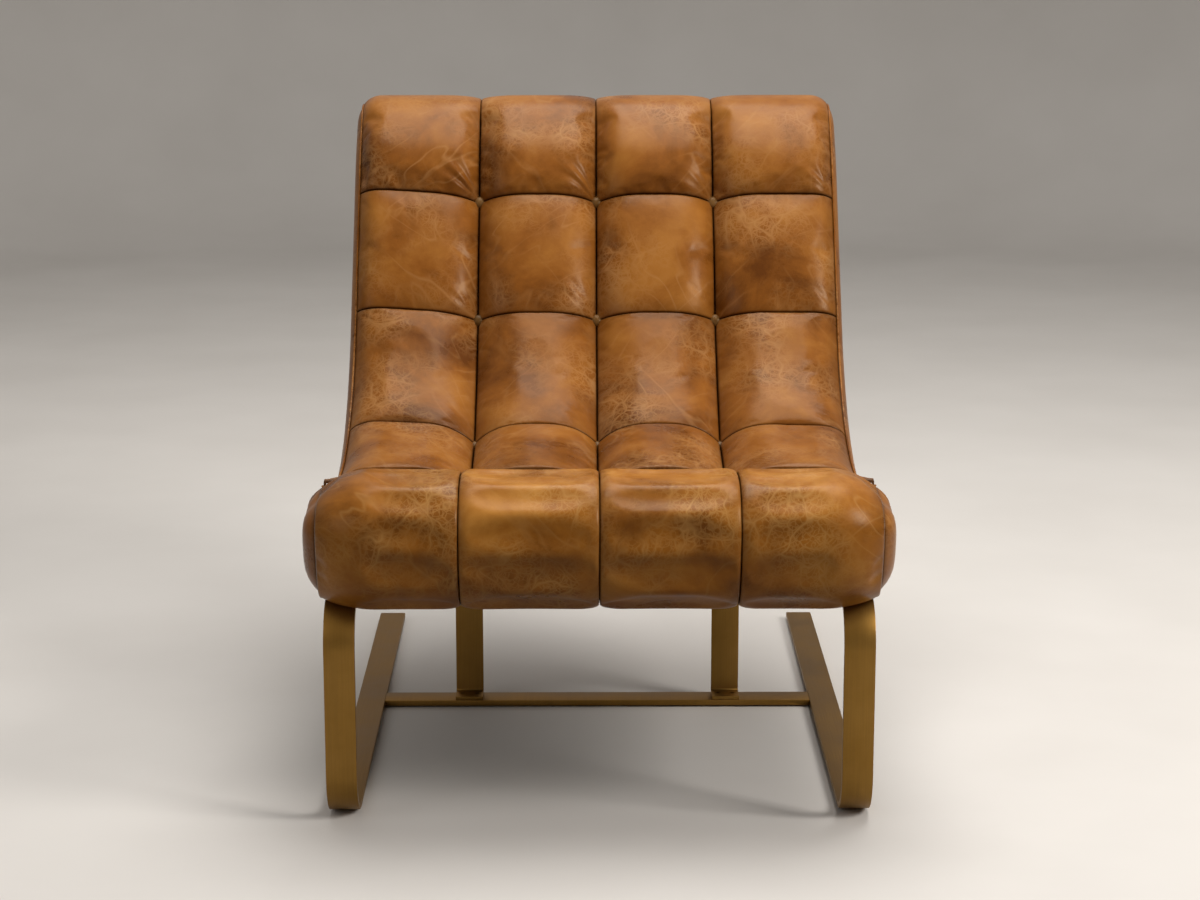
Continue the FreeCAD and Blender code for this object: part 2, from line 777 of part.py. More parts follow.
def bent_bar(label, formulas, arms, across):
    """A flat bar bent into a C, as a pad across the bar's width of its outline seen from the side.

    The formulas place the outline in depth and height. The arms point to the rear (1) or to the front (-1).
    """
    body = new_body(label)
    body.setExpression("Placement.Base.y", "-Sizes.overall_depth / 2")
    sketch = new_sketch(body, "YZ_Plane", f"{across} - {formulas['width']} / 2")
    known = {name: value_of(formula) for name, formula in formulas.items()}
    upright, top, floor, thick = (known[name] for name in ("upright", "top", "floor", "thick"))
    point = FreeCAD.Vector
    upper = point(upright + arms * known["bend_top"], top - known["bend_top"])
    lower = point(upright + arms * known["bend_floor"], floor + known["bend_floor"])
    inner = upright + arms * thick
    steps = [(point(known["top_end"], top), None), (point(upper.x, top), upper),
             (point(upright, upper.y), None), (point(upright, lower.y), lower),
             (point(lower.x, floor), None), (point(known["floor_end"], floor), None),
             (point(known["floor_end"], floor + thick), None), (point(lower.x, floor + thick), lower),
             (point(inner, lower.y), None), (point(inner, upper.y), upper),
             (point(upper.x, top - thick), None), (point(known["top_end"], top - thick), None)]
    ends = add_outline(sketch, steps)
    sketch.addConstraint(Sketcher.Constraint("Coincident", 1, CENTRE, 9, CENTRE))
    sketch.addConstraint(Sketcher.Constraint("Coincident", 3, CENTRE, 7, CENTRE))
    bind(sketch, "Radius", (1, known["bend_top"]), formulas["bend_top"])
    bind(sketch, "Radius", (3, known["bend_floor"]), formulas["bend_floor"])
    bind(sketch, "Radius", (9, known["bend_top"] - thick), f"{formulas['bend_top']} - {formulas['thick']}")
    for kind, edge, name in (("DistanceX", 2, "upright"), ("DistanceY", 0, "top"), ("DistanceY", 4, "floor"),
                             ("DistanceX", 5, "floor_end"), ("DistanceX", 0, "top_end")):
        bind(sketch, kind, (ORIGIN, START, edge, ends[edge][0], known[name]), formulas[name])
    bar = body.newObject("PartDesign::Pad", f"{label}_bar")
    bar.Profile = sketch
    bar.setExpression("Length", formulas["width"])
    return body


def drill_down(body, lift, places, radius, depth):
    """Round holes drilled down from a level of the body, at places given as formulas."""
    sketch = new_sketch(body, "XY_Plane", lift)
    for number, (across, behind) in enumerate(places):
        centre = FreeCAD.Vector(value_of(across), value_of(behind))
        sketch.addGeometry(Part.Circle(centre, FLAT, value_of(radius)))
        bind(sketch, "Radius", (number, value_of(radius)), radius)
        bind(sketch, "DistanceX", (ORIGIN, START, number, CENTRE, centre.x), across)
        bind(sketch, "DistanceY", (ORIGIN, START, number, CENTRE, centre.y), behind)
    pocket = body.newObject("PartDesign::Pocket", f"{sketch.Name}_holes")
    pocket.Profile = sketch
    pocket.setExpression("Length", depth)
    return pocket


# The sled base: two flat bars, each bent into a C that is open at the rear.
LOOP_CENTRE = frame_inner_formula[:-1] + " + Sizes.frame_thickness / 2)"
LOOP = {
    "upright": "Sizes.leg_front_depth", "top": "Sizes.arm_top_height", "floor": "Sizes.glide_thickness",
    "top_end": "Sizes.arm_end_depth", "floor_end": "Sizes.overall_depth", "thick": "Sizes.bar_thickness",
    "bend_top": "Sizes.top_bend_radius", "bend_floor": "Sizes.floor_bend_radius", "width": "Sizes.bar_width",
}
for sign, name in (("-", "left"), ("", "right")):
    across = f"{sign}{LOOP_CENTRE}"
    loop = bent_bar(f"side_loop_{name}", LOOP, 1, across)
    drill_down(loop, LOOP["top"], [(across, "Sizes.front_bolt_depth"), (across, "Sizes.arm_end_depth - Sizes.rear_bolt_margin")],
               "Sizes.bolt_hole_radius", LOOP["thick"])

# Two uprights of thinner bar stand on the crossbar and carry the rear rail, their tabs turned forwards.
STRAP_FRONT = "Sizes.strap_rear_depth - Sizes.strap_tab_length"
STRAP = {
    "upright": "Sizes.strap_rear_depth", "top": "Sizes.arm_top_height",
    "floor": "Sizes.glide_thickness + Sizes.bar_thickness", "top_end": STRAP_FRONT, "floor_end": STRAP_FRONT,
    "thick": "Sizes.strap_thickness", "bend_top": "Sizes.strap_bend_radius",
    "bend_floor": "Sizes.strap_bend_radius", "width": "Sizes.strap_width",
}
RIVET_DEPTH = "(Sizes.crossbar_depth + Sizes.strap_rear_depth) / 2"
for sign, name in (("-", "left"), ("", "right")):
    across = f"{sign}Sizes.strap_spacing / 2"
    strap = bent_bar(f"upright_{name}", STRAP, -1, across)
    drill_down(strap, STRAP["top"], [(across, "Sizes.strap_rear_depth - Sizes.strap_bolt_margin")],
               "Sizes.bolt_hole_radius", STRAP["thick"])
    drill_down(strap, f"{STRAP['floor']} + {STRAP['thick']}",
               [(f"{across} - Sizes.rivet_spacing / 2", RIVET_DEPTH),
                (f"{across} + Sizes.rivet_spacing / 2", RIVET_DEPTH)],
               "Sizes.rivet_radius + Sizes.fit_gap", STRAP["thick"])


def turned_piece(label, outline):
    """A round piece as a revolution of half its outline about the upright axis."""
    body = new_body(label)
    sketch = new_sketch(body, "XZ_Plane")
    for number, (radius, height) in enumerate(outline):
        after = outline[(number + 1) % len(outline)]
        sketch.addGeometry(Part.LineSegment(FreeCAD.Vector(value_of(radius), value_of(height)),
                                            FreeCAD.Vector(value_of(after[0]), value_of(after[1]))))
    for number, (radius, height) in enumerate(outline):
        previous = (number - 1) % len(outline)
        sketch.addConstraint(Sketcher.Constraint("Coincident", previous, END, number, START))
        for kind, formula in (("DistanceX", radius), ("DistanceY", height)):
            bind(sketch, kind, (ORIGIN, START, number, START, value_of(formula)), formula)
    turned = body.newObject("PartDesign::Revolution", f"{label}_turned")
    turned.Profile = sketch
    turned.ReferenceAxis = (sketch, ["V_Axis"])
    turned.Angle = FULL_TURN
    return body


FULL_TURN = 360
BOLT = [("0", "-Sizes.bolt_head_height"), ("Sizes.bolt_head_radius", "-Sizes.bolt_head_height"),
        ("Sizes.bolt_head_radius", "0"),
        ("Sizes.bolt_radius", "0"), ("Sizes.bolt_radius", "Sizes.bolt_length"), ("0", "Sizes.bolt_length")]
bolt = turned_piece("bolt_piece", BOLT)
doc.recompute()


def copies(master, places):
    """Copies of one piece, each moved to its place."""
    placed = []
    for place in places:
        copy = master.Shape.copy()
        copy.Placement = FreeCAD.Placement(place, FreeCAD.Rotation())
        placed.append(copy)
    return placed


def ring(outer, inner, height, base):
    return (Part.makeCylinder(outer, height, base)
            .cut(Part.makeCylinder(inner, 2 * height, base - FreeCAD.Vector(0, 0, height / 2))))


for name, places, plate in (("loop", loop_bolts, size("bar_thickness")),
                            ("upright", strap_bolts, size("strap_thickness"))):
    seats = [vector(across, depth, underside - plate) for across, depth, height in places]
    group(f"{name}_bolts", copies(bolt, seats))
group("insert_nuts", [ring(size("insert_radius"), size("bolt_radius") + fit, size("insert_length"),
                           vector(*place)) for place in loop_bolts + strap_bolts])

# Crossbar between the floor rails, on their level, and the flush rivets that hold the uprights on it.
rivet_depth = value_of(RIVET_DEPTH)
rivet_length = size("bar_thickness") + size("strap_thickness")
rivet_places = [vector(side * size("strap_spacing") / 2 + share * size("rivet_spacing"), rivet_depth,
                       size("glide_thickness"))
                for side in (-1, 1) for share in (-0.5, 0.5)]


def rivets(spare):
    return [Part.makeCylinder(size("rivet_radius") + spare, rivet_length, place) for place in rivet_places]


group("crossbar_rivets", rivets(0))
crossbar_blank = board("floor_crossbar", {
    "Length": f"2 * ({LOOP_CENTRE} - Sizes.bar_width / 2)",
    "Width": "Sizes.bar_width",
    "Height": "Sizes.bar_thickness",
    "Placement.Base.x": f"Sizes.bar_width / 2 - {LOOP_CENTRE}",
    "Placement.Base.y": "Sizes.crossbar_depth - Sizes.overall_depth / 2",
    "Placement.Base.z": "Sizes.glide_thickness",
})
bored("floor_crossbar", crossbar_blank, rivets(fit))


# Floor glides: thin pads under the rails, front and rear.
def glide(side, depth):
    width = size("glide_width")
    return Part.makeBox(width, size("glide_length"), size("glide_thickness"),
                        vector(side * loop_centre - width / 2, depth, 0))


glide_rear = size("overall_depth") - size("glide_rear_margin") - size("glide_length")
group("floor_glides", [glide(side, depth) for side in (-1, 1) for depth in (size("glide_front_depth"), glide_rear)])


# Buttons: domes covered in the same leather, pulled into the crossings by twines tied to pads at the back.
DOME_SHARES = ((1, 0), (1, 0.45), (0.62, 0.9), (0.3, 1))


def button_shape():
    """A low dome of flat slopes, standing on Z = 0."""
    rings = []
    for radius_share, height_share in DOME_SHARES:
        edge = prism(radius_share * size("button_radius"), BUTTON_SIDES, size("button_height")).Faces[-2]
        ring_wire = edge.OuterWire.copy()
        ring_wire.translate(FreeCAD.Vector(0, 0, height_share * size("button_height") - edge.BoundBox.ZMin))
        rings.append(ring_wire)
    return Part.makeLoft(rings, True, True)


def at_crossings(shape, rows, rise):
    return [upright_at(shape, across, along, rise) for along in rows for across in BUTTON_ACROSS]


group("back_buttons", at_crossings(button_shape(), BUTTON_ROWS[:3], -size("button_sink")))
group("seat_buttons", at_crossings(button_shape(), BUTTON_ROWS[3:], -size("button_sink")))
twine = prism(size("twine_radius"), TWINE_SIDES, frame_top - size("button_sink"))
group("tufting_twines", at_crossings(twine, BUTTON_ROWS, -frame_top))
backing_pad = prism(size("backing_pad_radius"), BACKING_SIDES, size("backing_pad_thickness"))
group("backing_pads", at_crossings(backing_pad, BUTTON_ROWS, -frame_top - size("backing_pad_thickness")))

doc.recompute()

HELPERS = ("_blank", "_drill", "_piece")
os.makedirs("parts", exist_ok=True)
for part in doc.Objects:
    if "Invalid" in part.State or "Error" in part.State:
        raise RuntimeError(f"{part.Label} could not be built: {part.State}")
nodes = [part for part in doc.Objects
         if part.isDerivedFrom("Part::Feature") and not part.Label.endswith(HELPERS)
         and (part.TypeId == "PartDesign::Body" or not part.isDerivedFrom("PartDesign::Feature"))
         and part.TypeId not in ("Part::Box", "Sketcher::SketchObject")]
for node in nodes:
    if node.Shape.isNull() or not node.Shape.isValid() or not node.Shape.Solids:
        raise RuntimeError(f"{node.Label} has no valid solid")
    node.Shape.exportStep(f"parts/{node.Label}.step")
    print(node.Label, len(node.Shape.Solids), "solids,", round(node.Shape.Volume / 1000), "cubic cm")
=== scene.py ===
import math

import bmesh
import bpy
from mathutils import Matrix, Vector


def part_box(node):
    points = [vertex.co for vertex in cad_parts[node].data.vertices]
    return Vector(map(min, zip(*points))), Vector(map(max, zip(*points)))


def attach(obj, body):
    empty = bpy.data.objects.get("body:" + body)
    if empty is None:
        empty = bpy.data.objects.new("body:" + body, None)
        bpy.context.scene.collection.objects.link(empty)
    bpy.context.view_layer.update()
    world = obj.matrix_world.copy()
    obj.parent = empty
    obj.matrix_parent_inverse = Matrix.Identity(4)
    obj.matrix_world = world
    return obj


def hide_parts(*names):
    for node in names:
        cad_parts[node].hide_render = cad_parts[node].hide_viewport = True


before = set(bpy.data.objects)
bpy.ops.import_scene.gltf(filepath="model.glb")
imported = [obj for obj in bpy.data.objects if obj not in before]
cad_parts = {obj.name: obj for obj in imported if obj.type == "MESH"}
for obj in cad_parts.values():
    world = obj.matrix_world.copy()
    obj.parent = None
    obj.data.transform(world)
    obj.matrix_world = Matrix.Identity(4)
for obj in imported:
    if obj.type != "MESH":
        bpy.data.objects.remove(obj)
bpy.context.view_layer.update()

# The studio: a plain pale floor that curves up into a pale wall all round, one soft lamp high on the right, a
# weaker one on the left and a broad one overhead. The camera stands a little above the chair's back, looks
# down on it, and is a little left of the middle.
bpy.context.scene.view_settings.view_transform = "Standard"

eye = bpy.data.cameras.new("eye")
eye.lens = 81
eye.sensor_width = 36
camera = bpy.data.objects.new("camera", eye)
camera.location = (-0.021, -3.5785, 1.159)
camera.rotation_euler = (math.radians(90 - 12.35), 0, math.radians(-0.39))
bpy.context.scene.collection.objects.link(camera)
bpy.context.scene.camera = camera


def material(name):
    """A new material, with its node tree and its main shader."""
    made = bpy.data.materials.new(name)
    made.use_nodes = True
    return made, made.node_tree, made.node_tree.nodes["Principled BSDF"]


def node(tree, kind, **sockets):
    """A node of the given kind, with values or links for its inputs."""
    made = tree.nodes.new("ShaderNode" + kind)
    for name, value in sockets.items():
        socket = made.inputs[name.replace("_", " ")]
        if isinstance(value, bpy.types.NodeSocket):
            tree.links.new(value, socket)
        else:
            socket.default_value = value
    return made


def math_node(tree, operation, first, second=0.5):
    made = tree.nodes.new("ShaderNodeMath")
    made.operation = operation
    for socket, value in zip(made.inputs, (first, second)):
        if isinstance(value, bpy.types.NodeSocket):
            tree.links.new(value, socket)
        else:
            socket.default_value = value
    return made.outputs[0]


def blend_colours(tree, share, first, second, kind="MIX"):
    made = tree.nodes.new("ShaderNodeMix")
    made.data_type = "RGBA"
    made.blend_type = kind
    for socket, value in ((made.inputs[0], share), (made.inputs[6], first), (made.inputs[7], second)):
        if isinstance(value, bpy.types.NodeSocket):
            tree.links.new(value, socket)
        else:
            socket.default_value = value
    return made.outputs[2]


def ramp(tree, share, *stops):
    """A colour ramp through the given places and colours."""
    made = tree.nodes.new("ShaderNodeValToRGB")
    tree.links.new(share, made.inputs[0])
    for number, (place, colour) in enumerate(stops):
        stop = made.color_ramp.elements[number] if number < 2 else made.color_ramp.elements.new(place)
        stop.position = place
        stop.color = (*colour, 1)
    return made.outputs[0]


def remap(tree, value, low, high, start=0.0, end=1.0):
    made = node(tree, "MapRange", Value=value, From_Min=low, From_Max=high, To_Min=start, To_Max=end)
    return made.outputs[0]


def piece(name, mesh, slot, *materials):
    """An object for a finished mesh, riding on the chair, with its materials. The slot argument is not used."""
    made = bpy.data.objects.new(name, mesh)
    bpy.context.scene.collection.objects.link(made)
    for finish in materials:
        mesh.materials.append(finish)
    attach(made, "root")
    return made


def mesh_from(bm, name, smooth=True):
    mesh = bpy.data.meshes.new(name)
    bm.to_mesh(mesh)
    bm.free()
    mesh.shade_smooth() if smooth else mesh.shade_flat()
    return mesh


def looked_at(tree):
    """1 where the camera, a reflection or a view through glass sees a surface, 0 where it only bounces light."""
    rays = tree.nodes.new("ShaderNodeLightPath").outputs
    return math_node(tree, "MAXIMUM", rays["Is Camera Ray"],
                     math_node(tree, "MAXIMUM", rays["Is Glossy Ray"], rays["Is Transmission Ray"]))


floor_material, tree, shader = material("pale_floor")
tiles = node(tree, "TexNoise", Vector=node(tree, "TexCoord").outputs["Object"], Scale=3.0, Detail=4.0)
pale = ramp(tree, tiles.outputs[0], (0.3, (0.66, 0.63, 0.59)), (0.7, (0.70, 0.67, 0.63)))
tree.links.new(blend_colours(tree, looked_at(tree), (0.17, 0.15, 0.13, 1), pale), shader.inputs["Base Color"])
shader.inputs["Roughness"].default_value = 0.75
bm = bmesh.new()
centre = bm.verts.new((0, 0, 0))
edge = bm.edges.new((centre, bm.verts.new((4.6, 0, 0))))
bmesh.ops.spin(bm, geom=[edge.verts[1]], cent=(4.6, 0, 1.2), axis=(0, 1, 0), angle=-math.pi / 2, steps=12)
bm.verts.ensure_lookup_table()
wall = bmesh.ops.extrude_vert_indiv(bm, verts=[bm.verts[-1]])["verts"]
bmesh.ops.translate(bm, verts=wall, vec=(0, 0, 1.2))
bmesh.ops.spin(bm, geom=bm.verts[:] + bm.edges[:], cent=(0, 0, 0), axis=(0, 0, 1), angle=2 * math.pi, steps=96,
               use_merge=True)
bmesh.ops.remove_doubles(bm, verts=bm.verts, dist=0.001)
bmesh.ops.recalc_face_normals(bm, faces=bm.faces)
floor = bpy.data.objects.new("floor", mesh_from(bm, "floor"))
floor.data.materials.append(floor_material)
bpy.context.scene.collection.objects.link(floor)


def lamp(name, place, aim, breadth, power, colour):
    light = bpy.data.lights.new(name, "AREA")
    light.shape = "RECTANGLE"
    light.size, light.size_y = breadth
    light.energy = power
    light.color = colour
    made = bpy.data.objects.new(name, light)
    made.location = place
    made.rotation_euler = (Vector(aim) - Vector(place)).to_track_quat("-Z", "Y").to_euler()
    bpy.context.scene.collection.objects.link(made)


lamp("key_lamp", (3.0, -1.6, 2.5), (0, 0, 0.5), (1.1, 1.4), 92, (1.0, 0.97, 0.94))
lamp("fill_lamp", (-3.0, -2.2, 1.9), (0, 0, 0.4), (2.0, 2.0), 14, (0.97, 0.98, 1.0))
lamp("top_lamp", (0.3, 0.5, 3.3), (0, -0.1, 0.3), (2.2, 2.2), 88, (1.0, 0.98, 0.96))
world = bpy.data.worlds.new("pale_wall")
bpy.context.scene.world = world
world.use_nodes = True
tree = world.node_tree
background = tree.nodes["Background"]
tree.links.new(blend_colours(tree, looked_at(tree), (0.31, 0.30, 0.29, 1), (0.56, 0.51, 0.45, 1)),
               background.inputs["Color"])
background.inputs["Strength"].default_value = 1.0

# The sled runners: one length of 38 by 8 mm flat steel bar a side, bent cold into a C that lies open at the
# rear, its long edges eased, then plated, brushed along the bar and darkened to an antique bronze.
DEPTH = 0.965
bronze, tree, shader = material("brushed_bronze")
place = node(tree, "TexCoord").outputs["Object"]
streaks = node(tree, "TexNoise", Vector=node(tree, "Mapping", Vector=place, Scale=(900, 12, 12)).outputs[0],
               Scale=1.0, Detail=3.0)
clouds = node(tree, "TexNoise", Vector=place, Scale=9.0, Detail=5.0, Roughness=0.6)
tone = ramp(tree, clouds.outputs[0], (0.3, (0.205, 0.108, 0.021)), (0.72, (0.305, 0.172, 0.043)))
tone = blend_colours(tree, remap(tree, streaks.outputs[0], 0.3, 0.7, 0.0, 0.35), tone, (0.17, 0.09, 0.025, 1))
tree.links.new(tone, shader.inputs["Base Color"])
shader.inputs["Metallic"].default_value = 1.0
tree.links.new(remap(tree, clouds.outputs[0], 0.3, 0.7, 0.40, 0.52), shader.inputs["Roughness"])
bump = node(tree, "Bump", Height=streaks.outputs[0], Strength=0.12, Distance=0.0002)
tree.links.new(bump.outputs[0], shader.inputs["Normal"])

EASED = 0.0009
LOOP = {"across": 0.316, "width": 0.038, "thick": 0.008, "front": 0.046, "top": 0.278, "floor": 0.0026,
        "arm_end": 0.512, "floor_end": DEPTH, "top_bend": 0.058, "floor_bend": 0.060}


def spot(across, depth, height):
    """A point from its place across, its depth behind the front of the roll and its height."""
    return Vector((across, depth - DEPTH / 2, height))


def bar_end(bm, across, width, depth, low, thick):
    """The four edges of a bar's end, square to its length."""
    corners = [spot(across + side * width / 2, depth, low + lift)
               for side, lift in ((-1, 0), (1, 0), (1, thick), (-1, thick))]
    verts = [bm.verts.new(corner) for corner in corners]
    return [bm.edges.new((verts[i], verts[(i + 1) % 4])) for i in range(4)]


def verts_of(edges):
    return list({vert for edge in edges for vert in edge.verts})


def push(bm, edges, way):
    """A straight run of bar, grown from its open end."""
    grown = bmesh.ops.extrude_edge_only(bm, edges=edges)["geom"]
    tips = [part for part in grown if isinstance(part, bmesh.types.BMVert)]
    bmesh.ops.translate(bm, verts=tips, vec=way)
    return [part for part in grown if isinstance(part, bmesh.types.BMEdge) and set(part.verts) <= set(tips)]


def bend(bm, edges, centre, quarter):
    """A quarter bend of bar about an axis across the chair, grown from its open end."""
    last = bmesh.ops.spin(bm, geom=verts_of(edges) + edges, cent=centre, axis=(1, 0, 0),
                          angle=quarter * math.pi / 2, steps=16, use_duplicate=False)["geom_last"]
    tips = {part for part in last if isinstance(part, bmesh.types.BMVert)}
    return [part for part in last if isinstance(part, bmesh.types.BMEdge) and set(part.verts) <= tips]


def finish_bar(bm, eased):
    """Closes both ends of a bar, eases its sharp edges and turns its faces outwards."""
    bmesh.ops.holes_fill(bm, edges=[edge for edge in bm.edges if edge.is_boundary], sides=4)
    bmesh.ops.recalc_face_normals(bm, faces=bm.faces)
    sharp = [edge for edge in bm.edges if edge.calc_face_angle(0) > 1.0]
    bmesh.ops.bevel(bm, geom=sharp, offset=eased, segments=2, profile=0.5, affect="EDGES", material=-1)


def runner(side):
    bm = bmesh.new()
    across = side * LOOP["across"]
    edges = bar_end(bm, across, LOOP["width"], LOOP["arm_end"], LOOP["top"] - LOOP["thick"], LOOP["thick"])
    start = LOOP["front"] + LOOP["top_bend"]
    edges = push(bm, edges, (0, start - LOOP["arm_end"], 0))
    edges = bend(bm, edges, spot(across, start, LOOP["top"] - LOOP["top_bend"]), 1)
    low = LOOP["floor"] + LOOP["floor_bend"]
    edges = push(bm, edges, (0, 0, low - LOOP["top"] + LOOP["top_bend"]))
    edges = bend(bm, edges, spot(across, LOOP["front"] + LOOP["floor_bend"], low), 1)
    push(bm, edges, (0, LOOP["floor_end"] - LOOP["front"] - LOOP["floor_bend"], 0))
    finish_bar(bm, EASED)
    return bm


for side, name in ((-1, "left"), (1, "right")):
    made = piece(f"runner_{name}", mesh_from(runner(side), f"runner_{name}"), "bronze_bar", bronze)
    made.data.set_sharp_from_angle(angle=0.5)
    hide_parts(f"side_loop_{name}")

# The floor crossbar is the same flat bar, cut square and let in between the runners at floor level. Two
# uprights of 5 mm bar stand on it, bent at both ends into short tabs that point forwards, and carry the seat.
STRAP = {"across": 0.179, "width": 0.038, "thick": 0.005, "rear": 0.550, "tab": 0.034, "bend": 0.008}
CROSSBAR_DEPTH = 0.515


def upright(side):
    bm = bmesh.new()
    across = side * STRAP["across"]
    front = STRAP["rear"] - STRAP["tab"]
    low = LOOP["floor"] + LOOP["thick"]
    edges = bar_end(bm, across, STRAP["width"], front, low, STRAP["thick"])
    edges = push(bm, edges, (0, STRAP["tab"] - STRAP["bend"], 0))
    edges = bend(bm, edges, spot(across, STRAP["rear"] - STRAP["bend"], low + STRAP["bend"]), 1)
    edges = push(bm, edges, (0, 0, LOOP["top"] - low - 2 * STRAP["bend"]))
    edges = bend(bm, edges, spot(across, STRAP["rear"] - STRAP["bend"], LOOP["top"] - STRAP["bend"]), 1)
    push(bm, edges, (0, STRAP["bend"] - STRAP["tab"], 0))
    finish_bar(bm, EASED / 2)
    return bm


for side, name in ((-1, "left"), (1, "right")):
    made = piece(f"strap_{name}", mesh_from(upright(side), f"strap_{name}"), "bronze_bar", bronze)
    made.data.set_sharp_from_angle(angle=0.5)
    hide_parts(f"upright_{name}")

bm = bmesh.new()
reach = LOOP["across"] - LOOP["width"] / 2
edges = bar_end(bm, 0, 2 * reach, CROSSBAR_DEPTH, LOOP["floor"], LOOP["thick"])
push(bm, edges, (0, LOOP["width"], 0))
finish_bar(bm, EASED)
made = piece("crossbar", mesh_from(bm, "crossbar"), "bronze_bar", bronze)
made.data.set_sharp_from_angle(angle=0.5)
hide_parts("floor_crossbar")

# Fasteners: the runners and uprights hang on zinc-plated bolts, which run up into threaded inserts in the
# wood. Flush rivets of the bar's own colour pin each upright's foot to the crossbar.
zinc, tree, shader = material("zinc_plate")
place = node(tree, "TexCoord").outputs["Object"]
spangle = node(tree, "TexNoise", Vector=place, Scale=240.0, Detail=3.0)
tree.links.new(ramp(tree, spangle.outputs[0], (0.3, (0.42, 0.43, 0.45)), (0.7, (0.60, 0.61, 0.62))),
               shader.inputs["Base Color"])
shader.inputs["Metallic"].default_value = 1.0
shader.inputs["Roughness"].default_value = 0.32


def finish_node(name, finish):
    """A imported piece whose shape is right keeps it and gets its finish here."""
    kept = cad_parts[name]
    kept.data.materials.clear()
    kept.data.materials.append(finish)


for name in ("loop_bolts", "upright_bolts", "insert_nuts"):
    finish_node(name, zinc)
finish_node("crossbar_rivets", bronze)

# Floor glides: dark moulded pads pressed onto the undersides of the runners, which keep the bars off the floor.
glide, tree, shader = material("glide_plastic")
place = node(tree, "TexCoord").outputs["Object"]
speck = node(tree, "TexNoise", Vector=place, Scale=420.0, Detail=2.0)
tree.links.new(ramp(tree, speck.outputs[0], (0.3, (0.022, 0.020, 0.018)), (0.7, (0.035, 0.032, 0.028))),
               shader.inputs["Base Color"])
tree.links.new(remap(tree, speck.outputs[0], 0.3, 0.7, 0.5, 0.65), shader.inputs["Roughness"])
finish_node("floor_glides", glide)

# The wooden frame inside the body: two sides sawn from 30 mm birch plywood, joined by beech rails on loose
# tenons, with glue blocks in the corners. All of it is hidden once the chair is covered.
def wood(name, dark, light, stretch):
    made, tree, shader = material(name)
    place = node(tree, "TexCoord").outputs["Object"]
    grain = node(tree, "TexNoise", Vector=node(tree, "Mapping", Vector=place, Scale=stretch).outputs[0],
                 Scale=1.0, Detail=5.0, Distortion=0.6)
    tree.links.new(ramp(tree, grain.outputs[0], (0.35, dark), (0.65, light)), shader.inputs["Base Color"])
    shader.inputs["Roughness"].default_value = 0.6
    return made


plywood = wood("birch_plywood", (0.50, 0.34, 0.18), (0.66, 0.50, 0.31), (700, 9, 9))
beech = wood("planed_beech", (0.42, 0.26, 0.14), (0.56, 0.38, 0.22), (5, 90, 90))
for name in ("side_frame_left", "side_frame_right"):
    finish_node(name, plywood)
for name in ("front_seat_rail", "rear_seat_rail", "lumbar_rail", "top_rail", "corner_blocks", "frame_tenons"):
    finish_node(name, beech)

# Springing and padding: elastic webbing stretched from side to side, a woven deck cloth over it, foam on that
# and wadding on the outside of the frame's sides. These too are hidden by the leather.
def cloth_finish(name, dark, light, thread):
    made, tree, shader = material(name)
    place = node(tree, "TexCoord").outputs["Object"]
    weave = node(tree, "TexNoise", Vector=place, Scale=thread, Detail=2.0)
    tree.links.new(ramp(tree, weave.outputs[0], (0.35, dark), (0.65, light)), shader.inputs["Base Color"])
    shader.inputs["Roughness"].default_value = 0.9
    bump = node(tree, "Bump", Height=weave.outputs[0], Strength=0.4, Distance=0.0004)
    tree.links.new(bump.outputs[0], shader.inputs["Normal"])
    return made


for names, finish in (
        (("seat_webbing", "back_webbing"),
         cloth_finish("elastic_webbing", (0.20, 0.13, 0.07), (0.34, 0.24, 0.14), 260)),
        (("deck_cloth",), cloth_finish("deck_weave", (0.40, 0.35, 0.27), (0.55, 0.49, 0.40), 500)),
        (("seat_foam", "back_foam", "front_roll_foam", "top_roll_foam"),
         cloth_finish("cream_foam", (0.72, 0.66, 0.48), (0.82, 0.77, 0.60), 700)),
        (("side_padding_left", "side_padding_right"),
         cloth_finish("white_wadding", (0.70, 0.69, 0.66), (0.85, 0.84, 0.81), 160)),
        (("tufting_twines",), cloth_finish("waxed_twine", (0.30, 0.22, 0.12), (0.50, 0.40, 0.26), 1500)),
        (("backing_pads",), cloth_finish("pressed_felt", (0.24, 0.22, 0.20), (0.36, 0.34, 0.31), 600))):
    for name in names:
        finish_node(name, finish)

# The leather: a waxed, hard-worn caramel hide, glossy on the crowns, with pale veins and scuffs where the wax
# has been pulled, and painted darker in the seams, partly for burnish and partly as painted shade in the grooves.
# Every panel is cut from another part of the hide, so each has its own stretch of pattern, laid in metres on the
# panel's own map. Four panels, sewn along their edges, fill each row of the seat and back. They are puffed up by
# their filling and drawn down hard at the buttons.
HALF_WIDTH = 0.341
PITCH = 0.1685
PAD = 0.012
SEAT_LOW = {"depth": 0.390, "height": 0.347}
SEAT_RADIUS, BACK_RADIUS = 0.406, 0.360
BACK_START = BACK_RADIUS * math.radians(58)
SEAM = {5: -0.238, 4: -0.050, 3: 0.142, 2: 0.365, 1: 0.549}
CAP_START = 0.684


def seat_line(along):
    """Depth, height and slope of the button level: two arcs that meet at the lowest point, then a straight back."""
    radius = SEAT_RADIUS if along < 0 else BACK_RADIUS
    curved = min(along, BACK_START)
    slope = curved / radius
    depth = SEAT_LOW["depth"] + radius * math.sin(slope) + (along - curved) * math.cos(slope)
    height = SEAT_LOW["height"] + radius * (1 - math.cos(slope)) + (along - curved) * math.sin(slope)
    return depth, height, slope


def drawn_in(across, corner):
    """How far a panel's end is drawn in towards the edge of the chair, on a quarter of an ellipse."""
    past = max(0.0, min(abs(across), HALF_WIDTH) - corner["start"]) / corner["across"]
    return corner["down"] * (1 - math.sqrt(1 - past * past))


def eased(share):
    share = min(1.0, max(0.0, share))
    return share * share * (3 - 2 * share)


ROLL_CORNER = {"start": 0.270, "across": 0.088, "down": 0.076}
CREASE_SHARE = 0.6


